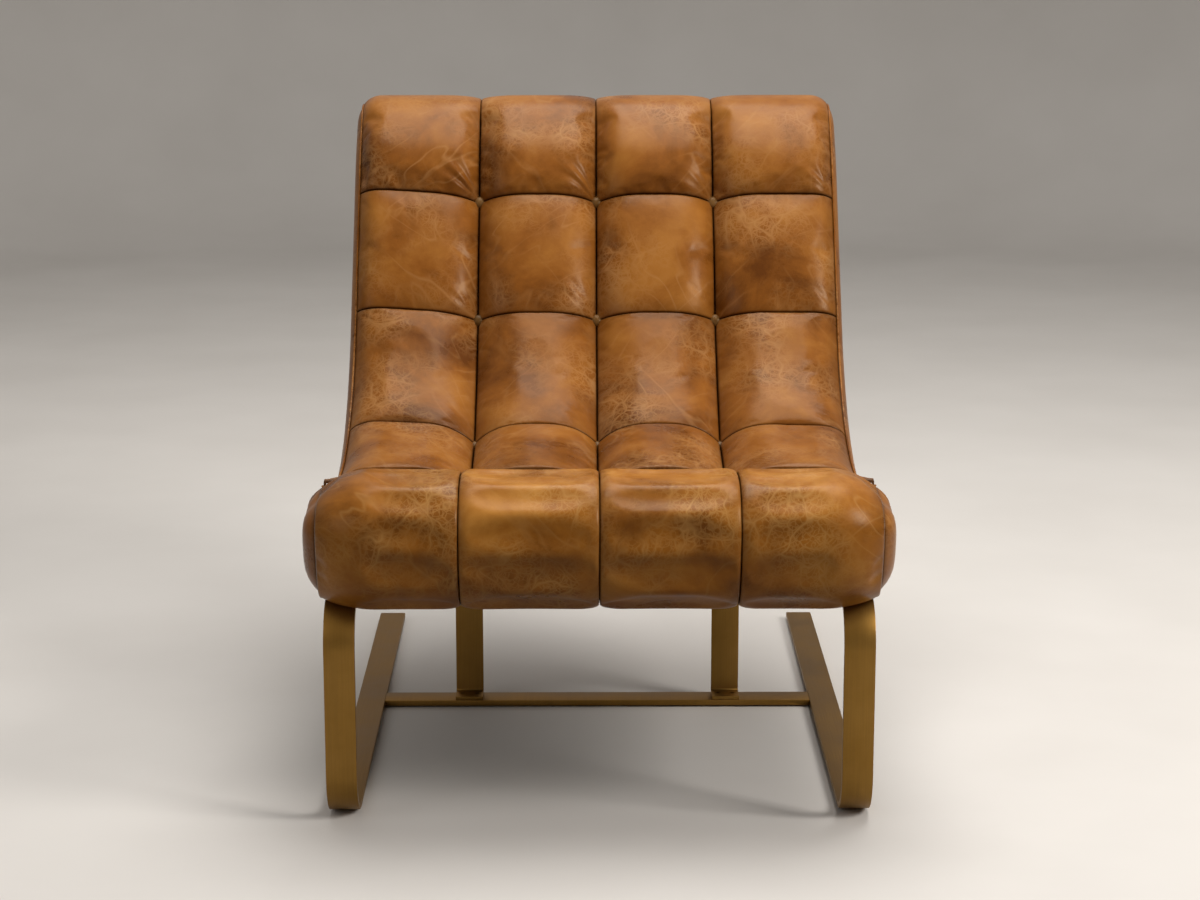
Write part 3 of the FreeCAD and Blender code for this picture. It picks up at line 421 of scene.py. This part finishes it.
def on_seat(across, along, rise, from_side=None):
    """A point at a rise over the button level; the front corners of the seat are rounded down like the roll's."""
    depth, height, slope = seat_line(along)
    rise -= CREASE_SHARE * drawn_in(from_side or across, ROLL_CORNER) * (1 - eased((along - SEAM[5]) / 0.26))
    return spot(across, depth - rise * math.sin(slope), height + rise * math.cos(slope))


def times(tree, first, second):
    return math_node(tree, "MULTIPLY", first, second)


def cloud(tree, place, scale, detail=3.0):
    return node(tree, "TexNoise", Vector=place, Scale=scale, Detail=detail, Roughness=0.6).outputs[0]


def creases(tree, place, angle, scale, thin, weight):
    """Long pale creases that run one way across the hide and fade out in places."""
    turned = node(tree, "Mapping", Vector=place, Rotation=(0, 0, angle), Scale=(1, 3.2, 1))
    turned.vector_type = "TEXTURE"
    turned = turned.outputs[0]
    line = node(tree, "TexNoise", Vector=turned, Scale=scale, Detail=2.0, Roughness=0.4, Distortion=0.1).outputs[0]
    away = math_node(tree, "ABSOLUTE", math_node(tree, "SUBTRACT", line, 0.5))
    there = remap(tree, cloud(tree, turned, scale * 0.45), 0.46, 0.66, 0.0, weight)
    return times(tree, remap(tree, away, 0.0, thin, 1.0, 0.0), there)


def crackle(tree, place, scale, weight, wide=0.10):
    """A web of dry cracks or soft creases of the given width: the borders of ragged cells, in patches."""
    drift = node(tree, "TexNoise", Vector=place, Scale=scale * 0.7, Detail=3.0).outputs["Color"]
    ragged = tree.nodes.new("ShaderNodeVectorMath")
    ragged.operation = "MULTIPLY_ADD"
    tree.links.new(drift, ragged.inputs[0])
    ragged.inputs[1].default_value = (1.6 / scale,) * 3
    tree.links.new(place, ragged.inputs[2])
    cells = tree.nodes.new("ShaderNodeTexVoronoi")
    cells.feature = "DISTANCE_TO_EDGE"
    cells.inputs["Scale"].default_value = scale
    tree.links.new(ragged.outputs[0], cells.inputs["Vector"])
    there = remap(tree, cloud(tree, place, 7.0), 0.44, 0.62, 0.0, weight)
    return times(tree, remap(tree, cells.outputs["Distance"], 0.0, wide, 1.0, 0.0), there)


def leather_finish(name, dark, mid, light, vein, vein_share):
    made, tree, shader = material(name)
    place = node(tree, "UVMap").outputs[0]
    tree.nodes["UV Map"].uv_map = "hide"
    clouds = node(tree, "TexNoise", Vector=place, Scale=10.0, Detail=8.0, Roughness=0.62, Distortion=0.3).outputs[0]
    mix = math_node(tree, "ADD", times(tree, clouds, 0.7), times(tree, cloud(tree, place, 3.1, 2.0), 0.3))
    tone = ramp(tree, mix, (0.36, dark), (0.64, light), (0.50, mid))
    lines = creases(tree, place, 0.65, 20.0, 0.022, 0.55)
    lines = math_node(tree, "MAXIMUM", lines, creases(tree, place, -0.80, 25.0, 0.024, 0.5))
    for scale, weight, wide in ((17.0, 0.80, 0.050), (31.0, 0.70, 0.060), (60.0, 0.55, 0.08), (130.0, 0.60, 0.10)):
        lines = math_node(tree, "MAXIMUM", lines, crackle(tree, place, scale, weight, wide))
    tone = blend_colours(tree, times(tree, lines, vein_share), tone, (*vein, 1))
    # Painted shade and burnish: the colour is blended towards near black where the per-point mask is low, in the
    # seams, the grooves and under the buttons.
    shade_and_burnish = node(tree, "Attribute")
    shade_and_burnish.attribute_name = "shade_and_burnish"
    tone = blend_colours(tree, remap(tree, shade_and_burnish.outputs["Fac"], 0.0, 1.0, 0.85, 0.0), tone, (0.018, 0.005, 0.002, 1))
    tree.links.new(tone, shader.inputs["Base Color"])
    tree.links.new(remap(tree, clouds, 0.3, 0.7, 0.24, 0.38), shader.inputs["Roughness"])
    shader.inputs["Specular IOR Level"].default_value = 0.17
    shader.inputs["Specular Tint"].default_value = (1.0, 0.80, 0.58, 1)
    pores = node(tree, "TexVoronoi", Vector=place, Scale=700.0).outputs["Distance"]
    wrinkles = node(tree, "TexNoise", Vector=place, Scale=75.0, Detail=5.0, Roughness=0.6, Distortion=0.8).outputs[0]
    height = math_node(tree, "ADD", times(tree, pores, 0.2), wrinkles)
    height = math_node(tree, "SUBTRACT", height, times(tree, lines, 0.5))
    bump = node(tree, "Bump", Height=height, Strength=0.30, Distance=0.0006)
    tree.links.new(bump.outputs[0], shader.inputs["Normal"])
    return made


leather = leather_finish("caramel_leather", (0.110, 0.032, 0.004), (0.232, 0.077, 0.010), (0.330, 0.128, 0.021),
                         (0.47, 0.24, 0.085), 0.62)


def swell(share, sharpness):
    """How full a pillow is at a place from -1 to 1 across it: steep at its seams, nearly flat in the middle."""
    return max(0.0, 1 - abs(share) ** sharpness) ** 0.7


def sew_pillow(bm, across, length, rise_at, place_at, cells, offset):
    """One panel between its seams, with a skirt down to the back of its padding, left open below."""
    uv = bm.loops.layers.uv.get("hide") or bm.loops.layers.uv.new("hide")
    shade_and_burnish = bm.verts.layers.float.get("shade_and_burnish") or bm.verts.layers.float.new("shade_and_burnish")
    held = bm.verts.layers.float.get("held") or bm.verts.layers.float.new("held")
    top = bmesh.ops.create_grid(bm, x_segments=cells[0], y_segments=cells[1], size=1)["verts"]
    for vert in top:
        vert.co.xy = [math.sin(share * 1.25) / math.sin(1.25) for share in vert.co.xy]
    rim = list({edge for vert in top for edge in vert.link_edges if edge.is_boundary})
    for vert in verts_of(rim):
        vert[held] = 1
    grown = bmesh.ops.extrude_edge_only(bm, edges=rim)["geom"]
    skirt = [part for part in grown if isinstance(part, bmesh.types.BMVert)]
    for vert in skirt:
        vert[held] = 2
    for face in {face for vert in [*top, *skirt] for face in vert.link_faces}:
        for loop in face.loops:
            u, v = loop.vert.co.xy
            loop[uv].uv = (offset[0] + across[0] + (u + 1) / 2 * (across[1] - across[0]),
                           offset[1] + (v + 1) / 2 * length)
    for vert in [*top, *skirt]:
        u, v = vert.co.xy
        x = across[0] + (u + 1) / 2 * (across[1] - across[0])
        inner = min(1 - abs(u), 1 - abs(v))
        # Painted shade and burnish: the mask falls off towards the seams and is zero on the rim and the skirt, so
        # these render darker.
        vert[shade_and_burnish] = min(1.0, 0.35 + 20 * inner) * (0.78 + 0.22 * eased(inner / 0.25)) if vert[held] == 0 else 0.0
        vert.co = place_at(x, v, -PAD if vert[held] == 2 else rise_at(u, v))


def puff(made, pressure, slack, limit):
    """Fills the pillows: the seams are held, the leather between them is cut a little full and blown up."""
    held = made.vertex_groups.new(name="held")
    marks = made.data.attributes["held"].data
    held.add([index for index, mark in enumerate(marks) if mark.value > 0.5], 1.0, "REPLACE")
    cloth = made.modifiers.new("puff", "CLOTH")
    cloth.settings.vertex_group_mass = "held"
    cloth.settings.use_pressure = True
    cloth.settings.uniform_pressure_force = pressure
    cloth.settings.shrink_min = -slack
    cloth.settings.tension_stiffness = 12
    cloth.settings.compression_stiffness = 12
    cloth.settings.shear_stiffness = 5
    cloth.settings.bending_stiffness = 1.5
    cloth.settings.quality = 5
    cloth.settings.effector_weights.gravity = 0
    cloth.point_cache.frame_end = 20
    for step in range(1, 21):
        bpy.context.scene.frame_set(step)
    blown = made.evaluated_get(bpy.context.evaluated_depsgraph_get())
    after = [vert.co.copy() for vert in blown.to_mesh().vertices]
    blown.to_mesh_clear()
    made.modifiers.remove(cloth)
    made.vertex_groups.clear()
    bpy.context.scene.frame_set(1)
    for vert, new in zip(made.data.vertices, after):
        move = new - vert.co
        vert.co += move * min(1.0, limit / max(move.length, 1e-9))


def finish_pillows(made):
    smooth = made.modifiers.new("round", "SUBSURF")
    smooth.levels = smooth.render_levels = 1
    smooth.boundary_smooth = "PRESERVE_CORNERS"
    bm = bmesh.new()
    bm.from_object(made, bpy.context.evaluated_depsgraph_get())
    made.modifiers.remove(smooth)
    bmesh.ops.holes_fill(bm, edges=[edge for edge in bm.edges if edge.is_boundary], sides=0)
    bmesh.ops.triangulate(bm, faces=[face for face in bm.faces if len(face.verts) > 4])
    bmesh.ops.recalc_face_normals(bm, faces=bm.faces)
    bm.to_mesh(made.data)
    bm.free()
    made.data.shade_smooth()


# How far the leather stands over the button level: at a button, in the middle of a seam between two rows, of
# a seam between two columns, at the outer edge, and in the middle of a pillow.
BUTTON_RISE, ROW_SEAM, COLUMN_SEAM, EDGE_RISE, CROWN = -0.001, 0.033, 0.012, 0.014, 0.040
GATHERED = (1.0, 0.8, 0.3, 0.4)


def pillow_rise(column):
    """Height of one pillow over the button level: low at the buttons, higher along the seams, full in the middle."""
    outer = {0: -1, 3: 1}.get(column, 0)

    def rise(u, v, row_seam=ROW_SEAM, crown=CROWN):
        at_edge = max(0.0, outer * u)
        drawn = 0.0 if at_edge else abs(u)
        full = 1 - drawn ** (3.0 + 1.6 * (1 - v * v))
        seam = BUTTON_RISE + (1 - full) * (COLUMN_SEAM - BUTTON_RISE) * (1 - abs(v) ** 2.2)
        edge = 1 - (1 - EDGE_RISE / row_seam) * at_edge ** 7
        middle = (crown - row_seam) * swell(v, 3.4) * (1 - at_edge ** 8) ** 0.6
        return seam + full * (row_seam * edge + middle)
    return rise


def askew(seam, across):
    """How far a hand-sewn seam strays up the chair towards its two outer ends."""
    if seam not in (1, 2, 3):
        return 0.0
    return 0.008 * eased((-across - 0.17) / 0.16) - 0.005 * (seam == 3) * eased((across - 0.17) / 0.16)


def gathers(u, travelled, column):
    """Folds that fan out from the button at a panel's lower right corner."""
    beside = (1 - u) / 2 * PITCH
    reach, turn = math.hypot(beside, travelled), math.atan2(travelled, beside)
    fan = math.exp(-((turn - 0.85) / 0.36) ** 2) * eased(reach / 0.020) * (1 - eased((reach - 0.028) / 0.052))
    return 0.0034 * GATHERED[column] * fan * math.sin(16 * turn + 22 * reach + 0.8 * column)


def column_edges(column):
    """Where a column's two seams lie across the chair: the outer columns run on to the edge."""
    return [max(-HALF_WIDTH, min(HALF_WIDTH, (column - 2 + step) * PITCH + (0.01 if column + step == 4 else 0)
                                 - (0.01 if column + step == 0 else 0))) for step in (0, 1)]


def row_of_pillows(name, first, last, offset):
    bm = bmesh.new()
    lower = next(seam for seam, place in SEAM.items() if place == first)
    rows = round((last - first) / 0.0043)
    for column in range(4):
        def place_at(x, v, rise):
            low, high = [place + askew(seam, x) for place, seam in ((first, lower), (last, lower - 1))]
            return on_seat(x, low + (v + 1) / 2 * (high - low), rise)

        def rise_at(u, v, rise=pillow_rise(column), column=column):
            if first > SEAM[5]:
                return rise(u, v) + 0.22 * gathers(u, (v + 1) / 2 * (last - first), column)
            return rise(u, v, 0.002 + (ROW_SEAM - 0.002) * eased((v + 1) / 2), 0.015)

        sew_pillow(bm, column_edges(column), last - first, rise_at, place_at, (40, rows),
                   (offset + 1.37 * column, 0.61 * offset + 0.43 * column))
    return piece(name, mesh_from(bm, name), "leather", leather)


for name, replaced, first, last, offset in (
        ("seat_front_pillows", "seat_front_panels", SEAM[5], SEAM[4], 0.0),
        ("seat_rear_pillows", "seat_rear_panels", SEAM[4], SEAM[3], 2.2),
        ("back_lower_pillows", "back_lower_panels", SEAM[3], SEAM[2], 4.7),
        ("back_middle_pillows", "back_middle_panels", SEAM[2], SEAM[1], 7.9)):
    made = row_of_pillows(name, first, last, offset)
    puff(made, 4.0, 0.004, 0.003 if first == SEAM[5] else 0.006)
    finish_pillows(made)
    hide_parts(replaced)

# The top row runs up the face, over the rounded top of the back and a short way down behind it, where its
# hem is sewn to the outside back. Its two end panels are drawn in to round the upper corners of the chair.
BODY = 0.098
CAP_RADIUS = BODY / 2
WRAP_TAIL = 0.060
WRAP_END = CAP_START - WRAP_TAIL
TOP_CROWN, TOP_EDGE = 0.007, 0.004
TOP_CORNER = {"start": 0.316, "across": 0.038, "down": 0.048}
FACE_LENGTH = CAP_START - SEAM[1]
TOP_LENGTH = FACE_LENGTH + math.pi * CAP_RADIUS + WRAP_TAIL


def top_line(across, v, rise):
    """The outline of the top row from its front seam (v = -1) over the top to its hem (v = 1)."""
    drop = drawn_in(across, TOP_CORNER)
    start = CAP_START - drop
    travelled = (v + 1) / 2 * (TOP_LENGTH - 2 * drop)
    if travelled <= start - SEAM[1]:
        stray = askew(1, across) * (1 - travelled / (start - SEAM[1]))
        return on_seat(across, SEAM[1] + travelled + stray, rise)
    travelled -= start - SEAM[1]
    if travelled <= math.pi * CAP_RADIUS:
        turn = travelled / CAP_RADIUS
        reach = CAP_RADIUS + rise
        return on_seat(across, start + reach * math.sin(turn), reach * math.cos(turn) - CAP_RADIUS)
    return on_seat(across, start - (travelled - math.pi * CAP_RADIUS), -BODY - rise)


def top_rise(column):
    lower = pillow_rise(column)
    outer = {0: -1, 3: 1}.get(column, 0)

    def rise(u, v):
        travelled = (v + 1) / 2 * TOP_LENGTH
        face = lower(u, min(0.0, travelled / 0.070 - 1))
        at_edge = max(0.0, outer * u)
        over = TOP_CROWN * swell(0.0 if at_edge else u, 4.0)
        over += (TOP_EDGE - TOP_CROWN) * at_edge ** 7
        blend = eased((travelled - 0.060) / 0.120)
        hem = eased((TOP_LENGTH - travelled) / 0.018)
        return (face + (over - face) * blend + gathers(u, travelled, column)) * hem
    return rise


bm = bmesh.new()
for column in range(4):
    sew_pillow(bm, column_edges(column), TOP_LENGTH, top_rise(column), top_line, (40, 82),
               (11.3 + 1.37 * column, 3.1 + 0.4 * column))
made = piece("back_top_pillows", mesh_from(bm, "back_top_pillows"), "leather", leather)
puff(made, 3.0, 0.02, 0.006)
finish_pillows(made)
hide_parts("back_top_panels")

# The front roll: four columns of the same leather, sewn into one cover and pulled tight over a fat roll of
# foam. It starts in the crease of the seat, rolls over the front and is tacked under the frame. The ends are
# drawn in to a rounded corner. Its leather is the same hide painted about a third lighter, as painted light.
# Painted light: the roll's colours are the main leather's colours made about a third lighter.
roll_leather_painted_light = leather_finish("roll_leather_painted_light", (0.155, 0.049, 0.006), (0.315, 0.113, 0.014), (0.470, 0.202, 0.036),
                              (0.56, 0.31, 0.10), 0.62)
ROLL = {"top": (0.077, 0.4285), "nose": (0.006, 0.367), "under": (0.097, 0.271), "end": 0.127}
ROLL_CROWN = 0.005
ROLL_LENGTHS = (0.092, 0.107, 0.147, 0.030)


def roll_point(turn):
    """Depth and height of the roll's seam line, from the crease (0) over the top (1) and nose (2) to its hem (4)."""
    top, nose, under = ROLL["top"], ROLL["nose"], ROLL["under"]
    if turn < 1:
        crease = seat_line(SEAM[5])
        depth = crease[0] + (top[0] - crease[0]) * turn
        return depth, top[1] - (top[1] - crease[1]) * ((depth - top[0]) / (crease[0] - top[0])) ** 2
    if turn < 2:
        angle = (turn - 1) * math.pi / 2
        return top[0] + (nose[0] - top[0]) * math.sin(angle), nose[1] + (top[1] - nose[1]) * math.cos(angle)
    if turn < 3:
        angle = (turn - 2) * math.pi / 2
        return under[0] + (nose[0] - under[0]) * math.cos(angle), nose[1] + (under[1] - nose[1]) * math.sin(angle)
    return under[0] + (ROLL["end"] - under[0]) * (turn - 3), under[1]


def on_roll(across, turn, rise):
    """A point of the roll, with its ends drawn in and a rise square to its line."""
    depth, height = roll_point(turn)
    before, after = roll_point(max(0.0, turn - 0.02)), roll_point(min(4.0, turn + 0.02))
    way = Vector((after[0] - before[0], after[1] - before[1])).normalized()
    slope = seat_line(SEAM[5])[2]
    way = Vector((-math.cos(slope), -math.sin(slope))).lerp(way, eased(turn / 0.7)).normalized()
    share = CREASE_SHARE + (1 - CREASE_SHARE) * eased(turn / 0.8) - 0.55 * eased((turn - 2.2) / 0.7)
    out = rise - drawn_in(across, ROLL_CORNER) * share
    return spot(across, depth + way.y * out, height - way.x * out)


def roll_line(across, v, rise):
    travelled = (v + 1) / 2 * sum(ROLL_LENGTHS)
    turn = 0.0
    for length in ROLL_LENGTHS:
        turn += min(1.0, travelled / length)
        travelled = max(0.0, travelled - length)
    return on_roll(across, turn, rise)


def roll_rise(column):
    outer = {0: -1, 3: 1}.get(column, 0)

    def rise(u, v):
        full = 1.0 if outer * u > 0 else swell(u, 9.0)
        ends = eased((1 - abs(v)) / 0.24)
        return ends * (ROLL_CROWN * full + 0.001)
    return rise


def rest_on_arms(made):
    """Presses the underside of the roll up where it lies on the runners' bends and arms."""
    for vert in made.data.vertices:
        across, depth = abs(vert.co.x) - LOOP["across"], vert.co.y + DEPTH / 2
        past = LOOP["front"] + LOOP["top_bend"] - depth
        if past > LOOP["top_bend"] or depth > LOOP["arm_end"]:
            continue
        bar = LOOP["top"] - LOOP["top_bend"] + math.sqrt(LOOP["top_bend"] ** 2 - max(0.0, past) ** 2)
        clear = bar + 0.0008 - max(0.0, abs(across) - LOOP["width"] / 2 - 0.003) * 1.2
        if vert.co.z < clear and vert.co.z > bar - 0.030:
            vert.co.z = clear


bm = bmesh.new()
for column in range(4):
    sew_pillow(bm, column_edges(column), sum(ROLL_LENGTHS), roll_rise(column), roll_line, (42, 88),
               (17.1 + 1.2 * column, 5.3 + 0.5 * column))
made = piece("front_roll_cover", mesh_from(bm, "front_roll_cover"), "leather", roll_leather_painted_light)
puff(made, 2.0, 0.012, 0.005)
rest_on_arms(made)
finish_pillows(made)
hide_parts("front_roll_panels")

# Side panels: one shaped piece of leather a side, sewn to the welts all round over a thin layer of wadding,
# so that it bulges a little between them.
SIDE_BULGE, BULGE_REACH = 0.0093, 0.030
ROLL_BULGE, ROLL_REACH = 0.0090, 0.60
ROLL_CENTRE = spot(0, 0.102, 0.350)
BACK_FOOT = BACK_RADIUS * math.acos((SEAT_LOW["height"] + BACK_RADIUS - LOOP["top"]) / (BACK_RADIUS + BODY))


def edge_rise(along):
    """How far the outer edge of the leather stands over the button level."""
    return 0.002 + (EDGE_RISE - 0.002) * eased((along - SEAM[5]) / 0.09) + (TOP_EDGE - EDGE_RISE) * eased(
        (along - SEAM[1] - 0.060) / 0.079)


def side_ring(side, out, inset, roll_out=0.0, to_centre=0.0):
    """The outline of the body at one side, as points in order from the crease of the roll, moved outwards and drawn
    in by the given lengths. At the roll it is moved out by more, and drawn in by a share of the way to its centre."""
    across = side * (HALF_WIDTH + out)
    start = CAP_START - drawn_in(HALF_WIDTH, TOP_CORNER)
    points = []
    for step in range(64):
        along = SEAM[5] + (start - SEAM[5]) * step / 64
        front = 1 - eased((along - SEAM[5]) / 0.20)
        points.append(on_seat(across + side * roll_out * front, along, edge_rise(along) - inset, HALF_WIDTH))
    for step in range(25):
        turn = math.pi * step / 24
        reach = CAP_RADIUS + TOP_EDGE - inset
        points.append(on_seat(across, start + reach * math.sin(turn), reach * math.cos(turn) - CAP_RADIUS))
    for step in range(1, 40):
        along = start + (BACK_FOOT - start) * step / 39
        point = on_seat(across, along, inset - BODY - TOP_EDGE * eased((along - WRAP_END + 0.02) / 0.02))
        point.z = max(point.z, LOOP["top"] + inset)
        points.append(point)
    foot = points[-1]
    hem = spot(across, ROLL["end"], LOOP["top"] + inset)
    points += [foot.lerp(hem, step / 14) for step in range(1, 15)]
    for step in range(1, 48):
        front = eased(step / 12)
        point = on_roll(side * HALF_WIDTH, 3.6 * (1 - step / 48), -min(inset, 0.0))
        point += (ROLL_CENTRE - point) * to_centre * (0.62 + 0.38 * front)
        point.x = across + side * roll_out * front
        point.z = max(point.z, LOOP["top"] + 0.0008 + inset)
        points.append(point)
    return points


for side, name in ((-1, "left"), (1, "right")):
    bm = bmesh.new()
    uv = bm.loops.layers.uv.new("hide")
    shade_and_burnish = bm.verts.layers.float.new("shade_and_burnish")
    rings = []
    for share in (-0.25, 0.0, 0.06, 0.14, 0.26, 0.42, 0.60, 0.80, 1.0):
        inwards = max(0.0, share)
        full = 1 - (1 - inwards) ** 2.4
        corners = side_ring(side, SIDE_BULGE * full - 0.004 * (share < 0), inwards * BULGE_REACH, ROLL_BULGE * full,
                            inwards * ROLL_REACH)
        ring = [bm.verts.new(corner) for corner in corners]
        # Painted shade and burnish: the mask is lowest on the outer rings by the welt, so the leather darkens into
        # the seam.
        for vert in ring:
            vert[shade_and_burnish] = min(1.0, 0.1 + 9 * max(0.0, share))
        rings.append([bm.edges.new((ring[i], ring[(i + 1) % len(ring)])) for i in range(len(ring))])
    for lower, upper in zip(rings, rings[1:]):
        bmesh.ops.bridge_loops(bm, edges=lower + upper)
    for rim in (rings[-1], rings[0]):
        bmesh.ops.triangulate(bm, faces=bmesh.ops.edgeloop_fill(bm, edges=rim)["faces"])
    bmesh.ops.recalc_face_normals(bm, faces=bm.faces)
    for face in bm.faces:
        for loop in face.loops:
            loop[uv].uv = (23.0 + 3 * side + loop.vert.co.y, loop.vert.co.z)
    made = piece(f"side_cover_{name}", mesh_from(bm, f"side_cover_{name}"), "leather", leather)
    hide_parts(f"side_panel_{name}")

# Edge welts: a thin leather piping is sewn into the seam of each side, from the crease of the roll up the face,
# over the top and a short way down behind.
WELT = 0.0016
for side, name in ((-1, "left"), (1, "right")):
    track = bpy.data.curves.new(f"welt_{name}", "CURVE")
    track.dimensions = "3D"
    track.bevel_depth = WELT
    track.bevel_resolution = 3
    track.use_fill_caps = True
    points = side_ring(side, 0.0006, -0.0005)[:98]
    line = track.splines.new("POLY")
    line.points.add(len(points) - 1)
    for point, corner in zip(line.points, points):
        point.co = (*corner, 1)
    carrier = bpy.data.objects.new("carrier", track)
    mesh = bpy.data.meshes.new_from_object(carrier)
    bpy.data.objects.remove(carrier)
    mesh.name = f"welt_{name}"
    layer = mesh.uv_layers.get("hide") or mesh.uv_layers.new(name="hide")
    for loop in mesh.loops:
        corner = mesh.vertices[loop.vertex_index].co
        layer.data[loop.index].uv = (31.0 + corner.y, corner.z)
    welt_shade_and_burnish = mesh.attributes.new("shade_and_burnish", "FLOAT", "POINT")
    welt_shade_and_burnish.data.foreach_set("value", [1.0] * len(mesh.vertices))
    mesh.shade_smooth()
    made = piece(f"welt_{name}", mesh, "leather", leather)
    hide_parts(f"edge_welt_{name}")

# Outside back: one sheet of the leather, stretched over the rear of the frame from the hem of the top row to
# the underside of the seat and tacked along its edges.
BACK_SWELL, BACK_LEATHER, BACK_LENGTH = 0.0014, 0.0022, 0.566
bm = bmesh.new()
bmesh.ops.create_grid(bm, x_segments=56, y_segments=70, size=1)
uv = bm.loops.layers.uv.new("hide")
shade_and_burnish = bm.verts.layers.float.new("shade_and_burnish")
for face in bm.faces:
    for loop in face.loops:
        u, v = loop.vert.co.xy
        loop[uv].uv = (41.0 + u * HALF_WIDTH, BACK_FOOT + (v + 1) / 2 * (WRAP_END - BACK_FOOT))
for vert in bm.verts:
    u, v = vert.co.xy
    edge = min(1 - abs(u), 1 - abs(v))
    # Painted shade and burnish: the mask is lowest at the sheet's tacked edges, so it darkens there.
    vert[shade_and_burnish] = min(1.0, 0.3 + 14 * edge)
    rise = BACK_SWELL * min(1.0, 12 * edge) - BODY
    vert.co = on_seat(u * HALF_WIDTH, BACK_FOOT + (v + 1) / 2 * (WRAP_END - BACK_FOOT), rise)
bmesh.ops.recalc_face_normals(bm, faces=bm.faces)
made = piece("outside_back_cover", mesh_from(bm, "outside_back_cover"), "leather", leather)
wall = made.modifiers.new("thickness", "SOLIDIFY")
wall.thickness = BACK_LEATHER
wall.offset = -1
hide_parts("outside_back_panel")

# Dust cover: thin black cloth tacked under the frame between the runners' arms, sagging a little in the middle.
cover_cloth = cloth_finish("dust_cloth", (0.012, 0.012, 0.012), (0.030, 0.030, 0.030), 900)
low_corner, high_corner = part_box("dust_cover")
bm = bmesh.new()
bmesh.ops.create_grid(bm, x_segments=30, y_segments=22, size=1)
for vert in bm.verts:
    u, v = vert.co.xy
    sag = 0.0015 * swell(u, 2.0) * swell(v, 2.0)
    vert.co = Vector(((low_corner.x + high_corner.x) / 2 + u * (high_corner.x - low_corner.x) / 2,
                      (low_corner.y + high_corner.y) / 2 + v * (high_corner.y - low_corner.y) / 2,
                      high_corner.z - 0.0002 - sag))
bmesh.ops.recalc_face_normals(bm, faces=bm.faces)
made = piece("dust_cloth", mesh_from(bm, "dust_cloth"), "black_cloth", cover_cloth)
wall = made.modifiers.new("thickness", "SOLIDIFY")
wall.thickness = 0.0006
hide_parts("dust_cover")

# Buttons: small domes covered in scraps of the same hide and pulled into the crossings by the twines.
BUTTON_RADIUS, DOME_SHARE, BASE_SHARE = 0.0096, 0.72, 0.4
BUTTON_SEAT, LOW_BUTTON_SEAT, LOW_ROW = 0.0005, -0.005, 3
# Painted shade: the button leather is the same hide painted about half as light, for the shade in the dimples the
# buttons sit in.
button_leather_painted_shade = leather_finish("button_leather_painted_shade", (0.065, 0.028, 0.006), (0.125, 0.058, 0.014),
                                (0.190, 0.092, 0.026), (0.25, 0.14, 0.05), 0.4)
for name, replaced, rows in (
        ("back_button_covers", "back_buttons", (1, 2, 3)),
        ("seat_button_covers", "seat_buttons", (4,))):
    bm = bmesh.new()
    uv = bm.loops.layers.uv.new("hide")
    shade_and_burnish = bm.verts.layers.float.new("shade_and_burnish")
    for row in rows:
        for column in (-1, 0, 1):
            dome = bmesh.ops.create_uvsphere(bm, u_segments=24, v_segments=14, radius=BUTTON_RADIUS)["verts"]
            slope = seat_line(SEAM[row])[2]
            # Painted shade: the lower part of each dome gets a lower mask value and renders darker.
            for vert in dome:
                vert[shade_and_burnish] = 0.75 + 0.25 * (vert.co.z > 0)
                vert.co.z *= DOME_SHARE if vert.co.z > 0 else BASE_SHARE
            bmesh.ops.rotate(bm, verts=dome, matrix=Matrix.Rotation(slope, 3, "X"))
            rise = LOW_BUTTON_SEAT if row == LOW_ROW else BUTTON_SEAT
            bmesh.ops.translate(bm, verts=dome, vec=on_seat(column * PITCH, SEAM[row], rise))
    for face in bm.faces:
        for loop in face.loops:
            loop[uv].uv = (51.0 + loop.vert.co.x, loop.vert.co.y + loop.vert.co.z)
    made = piece(name, mesh_from(bm, name), "leather", button_leather_painted_shade)
    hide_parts(replaced)
